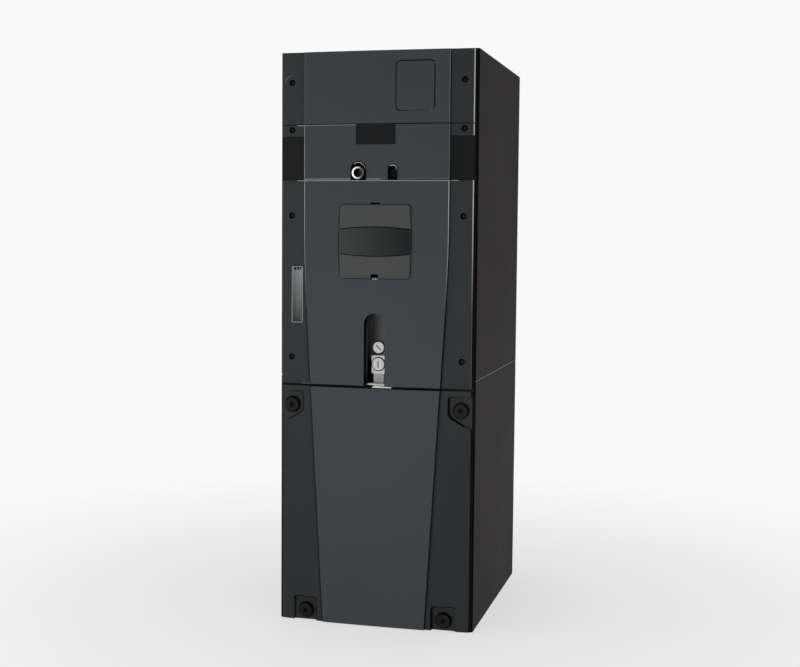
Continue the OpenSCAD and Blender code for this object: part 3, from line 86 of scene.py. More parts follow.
# %% [markdown]
# ## Node helpers
# The world and the finishes are small graphs of nodes. A few helpers add the nodes that every
# graph needs: arithmetic, noise, a change of range, a mix of two colours or of two shaders.

# %% Node helpers


def feed(tree, socket, value):
    if isinstance(value, bpy.types.NodeSocket):
        tree.links.new(value, socket)
    else:
        socket.default_value = value


def math_node(tree, operation, first, second=None, clamp=False):
    node = tree.nodes.new("ShaderNodeMath")
    node.operation = operation
    node.use_clamp = clamp
    feed(tree, node.inputs[0], first)
    if second is not None:
        feed(tree, node.inputs[1], second)
    return node.outputs[0]


def noise(tree, vector, scale, detail=3.0, rough=0.5):
    node = tree.nodes.new("ShaderNodeTexNoise")
    for label, value in (("Vector", vector), ("Scale", scale), ("Detail", detail), ("Roughness", rough)):
        feed(tree, node.inputs[label], value)
    return node.outputs["Fac"]


def remap(tree, value, low, high, to_low=0.0, to_high=1.0):
    node = tree.nodes.new("ShaderNodeMapRange")
    for label, given in (("Value", value), ("From Min", low), ("From Max", high), ("To Min", to_low),
                         ("To Max", to_high)):
        feed(tree, node.inputs[label], given)
    return node.outputs["Result"]


def own_place(tree):
    return tree.nodes.new("ShaderNodeTexCoord").outputs["Object"]


def parts_of(tree, vector):
    split = tree.nodes.new("ShaderNodeSeparateXYZ")
    tree.links.new(vector, split.inputs[0])
    return split.outputs


def tint(tree, share, first, second):
    node = tree.nodes.new("ShaderNodeMix")
    node.data_type = "RGBA"
    tree.links.new(share, node.inputs["Factor"])
    for label, value in (("A", first), ("B", second)):
        feed(tree, [s for s in node.inputs if s.name == label and s.type == "RGBA"][0], value)
    return [s for s in node.outputs if s.type == "RGBA"][0]


def mix_shaders(tree, share, first, second):
    node = tree.nodes.new("ShaderNodeMixShader")
    for socket, value in zip(node.inputs, (share, first, second)):
        tree.links.new(value, socket)
    return node.outputs[0]


# %% [markdown]
# ## Light
# Dark plastic shows its shape by what it mirrors, so the studio has two tall strips that draw a
# thin line along every rounded edge, a broad soft key from the front left, a low lamp for the foot,
# a panel overhead, and two soft lamps behind. The world itself is dim for the object and pale for
# the camera and for mirrors.

# %% World, floor and lamps
BACKDROP = 0.95
# Share of the backdrop that shows in mirrors
MIRRORED = 0.3
# Strength of the world as a lamp
DIM = 0.34


def background(tree, colour, strength):
    node = tree.nodes.new("ShaderNodeBackground")
    node.inputs["Color"].default_value = colour
    node.inputs["Strength"].default_value = strength
    return node.outputs[0]


def light_world():
    world = bpy.data.worlds.new("studio")
    bpy.context.scene.world = world
    world.use_nodes = True
    tree = world.node_tree
    tree.nodes.clear()
    out = tree.nodes.new("ShaderNodeOutputWorld")
    rays = tree.nodes.new("ShaderNodeLightPath")
    mirror = math_node(tree, "MULTIPLY", rays.outputs["Is Glossy Ray"], MIRRORED)
    through = math_node(tree, "MAXIMUM", rays.outputs["Is Transmission Ray"], mirror)
    seen = math_node(tree, "MAXIMUM", rays.outputs["Is Camera Ray"], through)
    shade = background(tree, (0.94, 0.97, 1.0, 1), DIM)
    pale = background(tree, (1, 1, 1, 1), BACKDROP)
    tree.links.new(mix_shaders(tree, seen, shade, pale), out.inputs["Surface"])


def area_lamp(name, place, target, size, size_y, power, colour=(1, 1, 1)):
    data = bpy.data.lights.new(name, "AREA")
    data.shape = "RECTANGLE"
    data.size, data.size_y = size, size_y
    data.energy = power
    data.color = colour
    lamp = add_object(name, data)
    lamp.location = place
    lamp.rotation_euler = (Vector(target) - Vector(place)).to_track_quat("-Z", "Y").to_euler()


light_world()
MIDDLE = (0, -0.2, 0.65)
area_lamp("key_soft", (-0.9, -3.4, 0.5), MIDDLE, 1.8, 2.0, 19)
area_lamp("foot_soft", (-0.3, -2.2, 0.12), (0, -0.2, 0.22), 1.2, 0.4, 5.5)
area_lamp("strip_left", (-2.3, -1.1, 0.9), MIDDLE, 0.25, 2.2, 14)
area_lamp("strip_right", (2.4, -1.9, 0.9), MIDDLE, 0.25, 2.2, 6, (1.0, 0.97, 0.94))
area_lamp("overhead", (-0.4, -0.6, 3.2), (0, 0.0, 1.2), 1.2, 1.2, 3)
area_lamp("back_fill", (2.2, 1.6, 1.0), (0.2, 0.2, 0.6), 1.6, 1.6, 3)
area_lamp("back_soft", (-0.6, 3.2, 0.8), (0, 0.25, 0.65), 1.8, 2.0, 16)

bpy.ops.mesh.primitive_plane_add(size=14, location=(0, 0, 0))
floor = bpy.context.object
floor.name = "studio_floor"
print("lamps", len(bpy.data.lights))

# %% [markdown]
# ## Shared effects
# Several finishes need the same few effects, so each effect is one node group that every
# material places with its own values: the fine grain of spark-eroded moulds, the lines of drawn
# metal, and a breath of dust on what faces up.

# %% Node group helper


def effect(name, label, value, *results):
    group = bpy.data.node_groups.new(name, "ShaderNodeTree")
    group.interface.new_socket(name="Vector", in_out="INPUT", socket_type="NodeSocketVector")
    kind = "NodeSocketVector" if isinstance(value, tuple) else "NodeSocketFloat"
    group.interface.new_socket(name=label, in_out="INPUT", socket_type=kind).default_value = value
    for result in results:
        group.interface.new_socket(name=result, in_out="OUTPUT", socket_type="NodeSocketFloat")
    return group, group.nodes.new("NodeGroupInput"), group.nodes.new("NodeGroupOutput")


# %% Grain of a moulded surface


def blend(tree, first, second, share):
    parts = math_node(tree, "MULTIPLY", first, share), math_node(tree, "MULTIPLY", second, 1 - share)
    return math_node(tree, "ADD", *parts)


def make_grain():
    group, start, end = effect("moulded_grain", "Scale", 900.0, "Height", "Patches")
    vector, scale = start.outputs["Vector"], start.outputs["Scale"]
    cells = group.nodes.new("ShaderNodeTexVoronoi")
    cells.feature = "SMOOTH_F1"
    group.links.new(vector, cells.inputs["Vector"])
    group.links.new(scale, cells.inputs["Scale"])
    fine = noise(group, vector, math_node(group, "MULTIPLY", scale, 0.6), 4)
    group.links.new(blend(group, cells.outputs["Distance"], fine, 0.6), end.inputs["Height"])
    broad, small = noise(group, vector, 3.2, 2, 0.4), noise(group, vector, 21.0, 3, 0.5)
    group.links.new(remap(group, blend(group, broad, small, 0.7), 0.3, 0.7), end.inputs["Patches"])
    return group


# %% Dust and drawn lines


def make_dust():
    group, start, end = effect("settled_dust", "Amount", 0.3, "Mask")
    facing = group.nodes.new("ShaderNodeNewGeometry")
    up = remap(group, parts_of(group, facing.outputs["Normal"])["Z"], 0.3, 0.95)
    drift = remap(group, noise(group, start.outputs["Vector"], 14.0, 5, 0.6), 0.35, 0.7, 0.35, 1.0)
    settled = math_node(group, "MULTIPLY", up, drift)
    mask = math_node(group, "MULTIPLY", settled, start.outputs["Amount"], clamp=True)
    group.links.new(mask, end.inputs["Mask"])
    return group


def make_drawn():
    group, start, end = effect("drawn_lines", "Across", (400.0, 400.0, 6.0), "Height", "Streaks")
    long = group.nodes.new("ShaderNodeVectorMath")
    long.operation = "MULTIPLY"
    group.links.new(start.outputs["Vector"], long.inputs[0])
    group.links.new(start.outputs["Across"], long.inputs[1])
    lines = noise(group, long.outputs["Vector"], 1.0, 3, 0.6)
    group.links.new(lines, end.inputs["Height"])
    group.links.new(remap(group, lines, 0.3, 0.7), end.inputs["Streaks"])
    return group


GRAIN, DUST, DRAWN = make_grain(), make_dust(), make_drawn()
print("effects", [g.name for g in bpy.data.node_groups])

# %% [markdown]
# ## Finishes
# A finish starts from one Principled shader. Its colour drifts by a few per cent in broad
# patches, its top faces hold some dust, and its grain goes through a bump. Values that are the
# same all over stay on the shader's own sockets.

# %% Finish maker
FINISHES = {}
DUST_COLOUR = (0.33, 0.31, 0.28, 1)
# Depth of the relief, in metres
RELIEF = 0.0004


def place_effect(tree, group, coords, **values):
    node = tree.nodes.new("ShaderNodeGroup")
    node.node_tree = group
    tree.links.new(coords, node.inputs["Vector"])
    for label, value in values.items():
        node.inputs[label].default_value = value
    return node


def shifted(colour, share=1):
    return tuple(min(1.0, c * share) for c in colour) + (1.0,)


def finish(name, colour, rough, drift, grain=900, depth=0.1, dust=0, specular=0.4, metallic=0, lines=None,
           coat=0):
    material = bpy.data.materials.new(name)
    material.use_nodes = True
    material.diffuse_color = shifted(colour)
    tree = material.node_tree
    shader = tree.nodes["Principled BSDF"]
    coords = own_place(tree)
    grained = place_effect(tree, GRAIN, coords, Scale=grain)
    base = tint(tree, grained.outputs["Patches"], shifted(colour, 1 - drift), shifted(colour, 1 + drift))
    height, rough_from = grained.outputs["Height"], grained.outputs["Patches"]
    if lines:
        drawn = place_effect(tree, DRAWN, coords, Across=lines)
        streaks = math_node(tree, "MULTIPLY", drawn.outputs["Streaks"], 0.5)
        base = tint(tree, streaks, base, shifted(colour, 1.25))
        height, rough_from = drawn.outputs["Height"], drawn.outputs["Streaks"]
    if dust:
        dusty = place_effect(tree, DUST, coords, Amount=dust)
        base = tint(tree, dusty.outputs["Mask"], base, DUST_COLOUR)
    tree.links.new(base, shader.inputs["Base Color"])
    tree.links.new(remap(tree, rough_from, 0, 1, rough - 0.05, rough + 0.06), shader.inputs["Roughness"])
    bump = tree.nodes.new("ShaderNodeBump")
    bump.inputs["Strength"].default_value = depth
    bump.inputs["Distance"].default_value = RELIEF
    tree.links.new(height, bump.inputs["Height"])
    tree.links.new(bump.outputs["Normal"], shader.inputs["Normal"])
    shader.inputs["Metallic"].default_value = metallic
    shader.inputs["Specular IOR Level"].default_value = specular
    shader.inputs["Coat Weight"].default_value = coat
    FINISHES[name] = material
    return material


# %% [markdown]
# The panels are one dark blue-grey plastic in three textures: smooth and a little lighter on
# the raised centre, darker and coarser on the side bands, and nearly flat black in the sunk
# fields. The cabinet's own skin is warmer. Everything behind the panels is ordinary workshop
# material: zinc-coated sheet, bare fins, copper, brass, card and foam.

# %% Finishes of plastic, skin, foam and card
PANEL_COLOUR = (0.0335, 0.0392, 0.0432)
BAND_COLOUR = (0.0195, 0.0225, 0.0242)
# Painted shade, nearly black, for grooves, wells, gaps, slots and holes
GROOVE_SHADE_COLOUR = (0.0015, 0.0015, 0.0018)
# Painted highlight colours for the panels' rounded edges
EDGE_HIGHLIGHT_COLOUR = (0.12, 0.125, 0.13)
BRIGHT_HIGHLIGHT_COLOUR = (0.46, 0.465, 0.47)
# The columns are colour, roughness, drift, grain (larger is finer), its depth, dust and specular level.
# The three edge looks are painted highlights on rounded edges; the first is faded along its height further
# on, the pale one has the same colour and isn't
for row in (
        ("panel_plastic", PANEL_COLOUR, 0.5, 0.08, 1500, 0.1, 0.1, 0.22),
        ("edge_highlight", EDGE_HIGHLIGHT_COLOUR, 0.34, 0.08, 1500, 0.05, 0, 0.4),
        ("edge_highlight_pale", EDGE_HIGHLIGHT_COLOUR, 0.34, 0.08, 1500, 0.05, 0, 0.4),
        ("edge_highlight_bright", BRIGHT_HIGHLIGHT_COLOUR, 0.34, 0.08, 1500, 0.05, 0, 0.4),
        ("band_plastic", BAND_COLOUR, 0.55, 0.08, 700, 0.22, 0.1, 0.2),
        ("recess_plastic", (0.005, 0.0054, 0.0061), 0.66, 0.08, 500, 0.35, 0.1, 0.15),
        ("shade_black", GROOVE_SHADE_COLOUR, 0.8, 0.08, 900, 0.1, 0, 0.05),
        ("badge_plastic", (0.047, 0.0482, 0.0478), 0.5, 0.08, 1300, 0.1, 0.1, 0.25),
        # The belt is painted lighter on its left and darker on its right, as light and shade, further on
        ("belt_shaded", (0.014, 0.0155, 0.0165), 0.42, 0.08, 1500, 0.04, 0, 0.1),
        ("cabinet_skin", (0.0235, 0.0198, 0.0198), 0.66, 0.08, 1100, 0.12, 0.15, 0.05),
        # Painted highlight for the horizontal rounded rims of the cabinet's walls
        ("skin_edge_highlight", (0.75, 0.745, 0.74), 0.4, 0.08, 1100, 0.1, 0, 0.4),
        ("black_plastic", (0.0025, 0.0025, 0.0028), 0.5, 0.08, 900, 0.12, 0.1, 0.2),
        # The knob's grip face is a lit copy of its black plastic, painted lighter
        ("knob_plastic", (0.0018, 0.0018, 0.002), 0.5, 0.08, 1300, 0.08, 0, 0.06),
        ("knob_face_lit", (0.0045, 0.0048, 0.0052), 0.45, 0.08, 1300, 0.08, 0, 0.12),
        ("screw_dark", (0.003, 0.003, 0.0033), 0.5, 0.08, 1200, 0.05, 0, 0.12),
        ("seal_rubber", (0.003, 0.003, 0.0035), 0.72, 0.08, 1300, 0.2, 0.1, 0.15),
        ("liner_foam", (0.21, 0.205, 0.19), 0.85, 0.14, 260, 0.7, 0.1, 0.4),
        ("bezel_plastic", (0.17, 0.174, 0.178), 0.3, 0.08, 1500, 0.05, 0, 0.4),
        # The pan is painted nearly black as shade around the drain column; the column is painted darker on
        # its left as shade and lighter on its right
        ("pan_plastic", (0.0015, 0.0015, 0.0016), 0.7, 0.08, 1000, 0.15, 0, 0.05),
        ("column_shaded", (0.05, 0.05, 0.05), 0.5, 0.08, 1000, 0.15, 0, 0.15),
        ("fitting_foot", (0.6, 0.595, 0.585), 0.45, 0.08, 1000, 0.1, 0, 0.2),
        ("white_plastic", (0.9, 0.895, 0.88), 0.4, 0.03, 1300, 0.06, 0.1, 0.4),
        ("filter_card", (0.4, 0.27, 0.155), 0.8, 0.1, 420, 0.35, 0.2, 0.4),
        ("filter_paper", (0.66, 0.66, 0.62), 0.9, 0.05, 700, 0.5, 0.2, 0.4),
        ("seam_shade", (0.004, 0.004, 0.0045), 0.7, 0.08, 900, 0.1, 0, 0.1),
        ("relay_black", (0.006, 0.006, 0.0065), 0.35, 0.08, 1200, 0.05, 0.2, 0.3),
        ("terminal_grey", (0.3, 0.3, 0.29), 0.45, 0.08, 1200, 0.05, 0.2, 0.4),
        # The trough's colour is a painted reflection, faded along its height further on
        ("trough_reflection", (0.1, 0.1, 0.1), 0.35, 0.08, 1500, 0.05, 0, 0.4)):
    finish(*row)

# %% Finishes of metal and of the board
for name, colour, rough, drift, depth, dust, lines in (
        ("zinc_steel", (0.5, 0.51, 0.52), 0.36, 0.12, 0.05, 0.25, (30, 30, 30)),
        ("blower_steel", (0.5, 0.51, 0.53), 0.3, 0.1, 0.06, 0.2, (9, 500, 500)),
        ("fin_aluminium", (0.68, 0.69, 0.7), 0.32, 0.06, 0.05, 0.2, (60, 60, 600)),
        ("tube_metal", (0.58, 0.27, 0.16), 0.28, 0.14, 0.05, 0.1, (40, 40, 300)),
        ("valve_brass", (0.6, 0.42, 0.16), 0.3, 0.1, 0.05, 0.1, (300, 300, 30)),
        ("heater_wire", (0.2, 0.17, 0.15), 0.45, 0.25, 0.15, 0.2, None),
        # The first stub look is bright metal faded further on from a painted highlight to painted shade; the
        # second is the stub metal painted dark as in shade
        ("stub_chrome_sheen", (0.6, 0.6, 0.59), 0.3, 0.05, 0.03, 0, (200, 8, 200)),
        ("stub_shaded", (0.045, 0.043, 0.04), 0.5, 0.05, 0.03, 0, None)):
    finish(name, colour, rough, drift, depth=depth, dust=dust, metallic=1, lines=lines)
finish("lamination_steel", (0.14, 0.14, 0.145), 0.5, 0.15, depth=0.12, dust=0.2, metallic=0.8,
       lines=(900, 30, 30))
finish("board_green", (0.018, 0.085, 0.035), 0.25, 0.08, 1200, 0.05, 0.2, coat=0.4)
finish("capacitor_sleeve", (0.016, 0.028, 0.075), 0.3, 0.08, depth=0.04, dust=0.2, coat=0.3)

# %% [markdown]
# Some looks change along a piece: the painted highlights on the panels' edges die away towards the
# foot, the bezel's trough holds a painted reflection that darkens towards its foot, and the belt, the
# drain column and the bright stub are painted lighter on one side and darker on the other, as light
# and shade. Each range is in metres.

# %% Looks that fade


def fade_along(name, axis, low, high, first, second):
    tree = FINISHES[name].node_tree
    share = remap(tree, parts_of(tree, own_place(tree))[axis], low, high)
    colour = tint(tree, share, shifted(first), shifted(second))
    tree.links.new(colour, tree.nodes["Principled BSDF"].inputs["Base Color"])


fade_along("trough_reflection", "Z", 0.675, 0.795, (0.012, 0.0125, 0.013), (0.21, 0.215, 0.22))
fade_along("edge_highlight_bright", "Z", 0.7, 0.93, PANEL_COLOUR, BRIGHT_HIGHLIGHT_COLOUR)
fade_along("edge_highlight", "Z", 0.72, 0.95, (0.02, 0.0225, 0.024), EDGE_HIGHLIGHT_COLOUR)
fade_along("seam_shade", "Z", 0.68, 0.76, GROOVE_SHADE_COLOUR, BAND_COLOUR)
fade_along("belt_shaded", "X", -0.08, 0.07, (0.041, 0.0425, 0.043), (0.0055, 0.0062, 0.0068))
fade_along("column_shaded", "X", -0.016, 0.016, (0.006, 0.006, 0.0065), (0.12, 0.122, 0.123))
fade_along("stub_chrome_sheen", "X", -0.05, -0.031, (0.78, 0.78, 0.77), (0.06, 0.06, 0.058))

# %% [markdown]
# The floor takes the object's soft shadow near its foot and melts into the backdrop further out,
# so that no horizon shows.

# %% Floor


def make_floor():
    material = finish("pale_floor", (0.86, 0.86, 0.855), 0.6, 0.01, 60, 0.02, specular=0.1)
    tree = material.node_tree
    away = tree.nodes.new("ShaderNodeVectorMath")
    away.operation = "LENGTH"
    tree.links.new(own_place(tree), away.inputs[0])
    glow = tree.nodes.new("ShaderNodeEmission")
    glow.inputs["Strength"].default_value = BACKDROP
    melt = mix_shaders(tree, remap(tree, away.outputs["Value"], 0.3, 1.6, 0.66, 1.0),
                       tree.nodes["Principled BSDF"].outputs[0], glow.outputs[0])
    tree.links.new(melt, tree.nodes["Material Output"].inputs["Surface"])
    return material


floor.data.materials.append(make_floor())

# %% [markdown]
# The side bands get painted shade along the two seams of the panels, and are darkened a little
# towards their foot. A seam stands upright above a certain height and leans inwards below it. The same
# rule, built from nodes, finds the distance from the seam and paints shade on the side bands next to it.

# %% Soft shade along the seams
# Half width of the centre zone, its lean in mm per mm, and the height at which the lean starts
ZONE_HALF, TAPER, TAPER_Z = 163.0, 0.0572, 818.0
SHADE_COLOUR = (0.001, 0.001, 0.0012, 1)
# Where the shade starts, beside the groove, and how far it reaches, in metres
SHADE_START, SHADE_REACH = 0.0015, 0.0055


def shade_seams(material):
    tree = material.node_tree
    shader = tree.nodes["Principled BSDF"]
    across, _, height = parts_of(tree, own_place(tree))
    leaning = math_node(tree, "MULTIPLY", height, TAPER)
    slant = math_node(tree, "ADD", leaning, (ZONE_HALF - TAPER * TAPER_Z) * MM)
    half = math_node(tree, "MINIMUM", slant, ZONE_HALF * MM)
    away = math_node(tree, "SUBTRACT", math_node(tree, "ABSOLUTE", across), half)
    lower = remap(tree, height, 0.68, 0.76, 1.0, 0.0)
    beside = remap(tree, away, SHADE_START, SHADE_START + SHADE_REACH, 0.95, 0.0)
    before = shader.inputs["Base Color"].links[0].from_socket
    dim = tint(tree, remap(tree, height, 0.35, 0.75, 0.3, 0.0), before, SHADE_COLOUR)
    near = math_node(tree, "MULTIPLY", beside, lower)
    tree.links.new(tint(tree, near, dim, SHADE_COLOUR), shader.inputs["Base Color"])


shade_seams(FINISHES["band_plastic"])

# %% Every node's finish
FINISH_OF = dict(SLOT_OF, heater_elements="heater_wire", breaker_cover_pin="black_plastic")
for name in ("wheel_blades", "wheel_rings", "wheel_hub", "motor_shaft", "blower_housing"):
    FINISH_OF[name] = "blower_steel"


def set_looks(piece, *looks):
    piece.data.materials.clear()
    for look in looks:
        piece.data.materials.append(FINISHES[look])


for name, node in NODES.items():
    set_looks(node, FINISH_OF[name])
print("finishes", len(FINISHES))

# %% [markdown]
# ## Working by hand
# Every piece is shaped with Blender's own operators. An operator acts on all that is selected,
# so these helpers first drop every selection. Edges and faces are then marked by a rule about
# their place or direction.

# %% Selection helpers


def take(*pieces):
    if bpy.context.object and bpy.context.object.mode != "OBJECT":
        bpy.ops.object.mode_set(mode="OBJECT")
    bpy.ops.object.select_all(action="DESELECT")
    for piece in pieces:
        piece.select_set(True)
    bpy.context.view_layer.objects.active = pieces[0]


def open_mesh(piece):
    take(piece)
    bpy.ops.object.mode_set(mode="EDIT")
    bpy.ops.mesh.select_mode(type="VERT")
    bpy.ops.mesh.select_all(action="DESELECT")


def pick_all():
    bpy.ops.mesh.select_all(action="SELECT")


def close_mesh():
    bpy.ops.object.mode_set(mode="OBJECT")


def close_outwards():
    pick_all()
    bpy.ops.mesh.normals_make_consistent(inside=False)
    close_mesh()


def mark(piece, kind, rule):
    bpy.ops.mesh.select_mode(type=kind)
    bpy.ops.mesh.select_all(action="DESELECT")
    grid = bmesh.from_edit_mesh(piece.data)
    grid.normal_update()
    chosen = [part for part in (grid.edges if kind == "EDGE" else grid.faces) if rule(part)]
    for part in chosen:
        part.select_set(True)
    bmesh.update_edit_mesh(piece.data)
    return len(chosen)


def place_of(point):
    return point.x / MM, (point.y - EDGE_Y) / MM, point.z / MM


def choose_looks(piece, rule):
    for face in piece.data.polygons:
        face.material_index = rule(face, *place_of(face.center))


def settle():
    bpy.ops.object.transform_apply(location=True, rotation=True, scale=True)


def finish_mesh(piece, degrees=32):
    take(piece)
    settle()
    bpy.ops.object.shade_smooth_by_angle(angle=math.radians(degrees))
    even = piece.modifiers.new("even_shading", "WEIGHTED_NORMAL")
    even.keep_sharp = True
    bpy.ops.object.modifier_apply(modifier=even.name)


def dress(piece, body, slot, *replaced, look=None):
    if not piece.data.materials:
        set_looks(piece, look or slot)
    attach(piece, body)
    if replaced:
        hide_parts(*replaced)
    print(piece.name, "faces", len(piece.data.polygons))


# %% [markdown]
# The engineering model's sheet and moulded pieces have the right shape, but knife-sharp edges.
# A real moulding or folded sheet has a radius everywhere, and that radius is what the lamps
# draw. So each such piece is copied, its triangles are merged into whole faces, and the edges
# that a rule picks are rounded with the bevel operator.

# %% Copies with rounded edges


def merged_copy(node, name):
    piece = add_object(name, NODES[node].data.copy())
    take(piece)
    if piece.data.has_custom_normals:
        bpy.ops.mesh.customdata_custom_splitnormals_clear()
    bpy.ops.object.mode_set(mode="EDIT")
    pick_all()
    bpy.ops.mesh.remove_doubles(threshold=0.000003)
    bpy.ops.mesh.dissolve_limited(angle_limit=math.radians(0.4))
    bpy.ops.object.mode_set(mode="OBJECT")
    return piece


def sharp(edge, degrees):
    return len(edge.link_faces) == 2 and edge.calc_face_angle_signed(0) > math.radians(degrees)


def round_edges(piece, radius, rule=None, degrees=40, segments=2, look=-1, clamp=True):
    open_mesh(piece)
    count = mark(piece, "EDGE", lambda e: sharp(e, degrees) and (rule is None or rule(e)))
    if count:
        bpy.ops.mesh.bevel(offset=radius * MM, segments=segments, affect="EDGES", clamp_overlap=clamp,
                           material=look)
    close_mesh()
    return count


def softened(node, body, radius):
    piece = merged_copy(node, node + "_body")
    count = round_edges(piece, radius)
    set_looks(piece, FINISH_OF[node])
    finish_mesh(piece)
    dress(piece, body, SLOT_OF[node], node)
    print("  rounded edges", count)


SKIN, RIM_HIGHLIGHT, WALL_SHADE = range(3)


def wall_piece(node):
    piece = merged_copy(node, node + "_body")
    set_looks(piece, "cabinet_skin", "skin_edge_highlight", "shade_black")
    count = round_edges(piece, 1.5, look=RIM_HIGHLIGHT)

    # The walls' front faces and the rims under the upper walls are painted black as shade; the other
    # horizontal rims carry a painted highlight
    def look(face, x, y, z):
        underneath = node.startswith("upper") and face.normal.z < -0.2
        if face.normal.y < -0.3 or face.material_index == RIM_HIGHLIGHT and underneath:
            return WALL_SHADE
        return SKIN if abs(face.normal.z) < 0.2 else face.material_index
    choose_looks(piece, look)
    finish_mesh(piece)
    dress(piece, "cabinet", SLOT_OF[node], node)
    print("  rounded edges", count)


for wall in ("lower_left_wall", "lower_right_wall", "upper_left_wall", "upper_right_wall"):
    wall_piece(wall)
for plain in ("lower_back_wall", "upper_back_wall", "front_frame", "top_frame", "base_frame"):
    softened(plain, "cabinet", 0.8)

# %% [markdown]
# ## Panels
# A panel has a raised centre zone whose seams run upright and then taper inwards, side bands that
# fall away on one large arc, and a narrow groove between them. Two formulas repeat that form,
# so that edges and faces can be picked by where they lie.

# %% The panels' form
BLEND = 78.0
BAND_R, BAND_RISE = 2219.3, 13.0
GROOVE_W = 1.8
PANEL_ENDS = {"heater_panel": (1109.0, 1264.8), "lineset_panel": (989.0, 1107.0),
              "coil_panel": (538.0, 987.0), "blower_panel": (2.0, 533.0)}
SCREW_X = 193.3
SCREWS = [(side * SCREW_X, z) for side in (-1, 1) for z in (1200.0, 1096.7, 910.0, 597.0)]
KNOBS = {"a": (-192.3, 490.0), "b": (192.3, 490.0), "c": (-159.0, 24.0), "d": (159.0, 24.0)}
BADGE_Z, BADGE_HALF = 854.2, 81.0
BREAKER_X, BREAKER_Z = 87.0, 1188.4


def zone_half(z):
    low, high = TAPER_Z - BLEND, TAPER_Z + BLEND
    if z >= high:
        return ZONE_HALF
    if z <= low:
        return ZONE_HALF - TAPER * (TAPER_Z - z)
    return ZONE_HALF - TAPER * BLEND + TAPER * (z - low) * (1 - (z - low) / (4 * BLEND))


def band_front(x):
    return BAND_R - BAND_RISE - math.sqrt(BAND_R * BAND_R - x * x)


def both_ends(rule):
    return lambda edge: all(rule(*place_of(v.co)) for v in edge.verts)


def near_any(x, z, places, radius):
    return any(math.hypot(x - px, z - pz) < radius for px, pz in places)


print("half width of the centre zone at the floor", round(zone_half(2), 1))

# %% [markdown]
# The finish of each face follows from its place too: smooth centre, coarse bands, and nearly black
# painted shade in the grooves and wells. The thin lines of light on the upper panels are painted
# highlights on the rounded edges of the centre zone.

# %% Panel pieces
PANEL_LOOKS = ("panel_plastic", "edge_highlight", "band_plastic", "recess_plastic", "shade_black",
               "edge_highlight_bright", "seam_shade", "edge_highlight_pale")
PLAIN, HIGHLIGHT, BAND, RECESS, SHADE_BLACK, BRIGHT_HIGHLIGHT, SEAM, PALE_HIGHLIGHT = range(8)
PANEL_HALF = 216.65
# An upper or lower edge is told by its height; on the bands it carries a painted highlight up to this half
# width
END_ZONE, COIL_END_ZONE, LIT_HALF = 3.0, 7.0, 187.0
# Half widths and heights of the cut-outs; behind the places along Y a face is sunk
WELL_R = 7.3
SLOT_HALF, SLOT_TOP = 24.2, 698.6
WINDOW_HALF, WINDOW_HALF_Z, WINDOW_Y = 44.6, 55.2, -15.2
PORTS_HALF, PORTS_TOP = 56.5, 1029.0
FIELD_HALF, FIELD_FOOT, FIELD_Y, SIDE_FIELD_TOP = 45.0, 1063.0, -13.6, 1090.0
BADGE_FLOOR_Y = -13.4
LOW_POCKET_TOP = 120.0


# Which painted highlight a rounded rim gets, by panel and place
def rim_look(node, x, z, across):
    low, high = PANEL_ENDS[node]
    if node == "blower_panel":
        return PLAIN
    if node == "heater_panel":
        return PLAIN if z < low + END_ZONE else HIGHLIGHT
    if node == "lineset_panel":
        if z > high - END_ZONE:
            return BRIGHT_HIGHLIGHT if x < -FIELD_HALF else PLAIN
        return BRIGHT_HIGHLIGHT if x < 0 else HIGHLIGHT
    if across <= 1:
        return BRIGHT_HIGHLIGHT if z > low + COIL_END_ZONE else PLAIN
    if z > high - COIL_END_ZONE and abs(x) < LIT_HALF:
        return BRIGHT_HIGHLIGHT
    return PALE_HIGHLIGHT if z < low + COIL_END_ZONE and -LIT_HALF < x < 0 else BAND


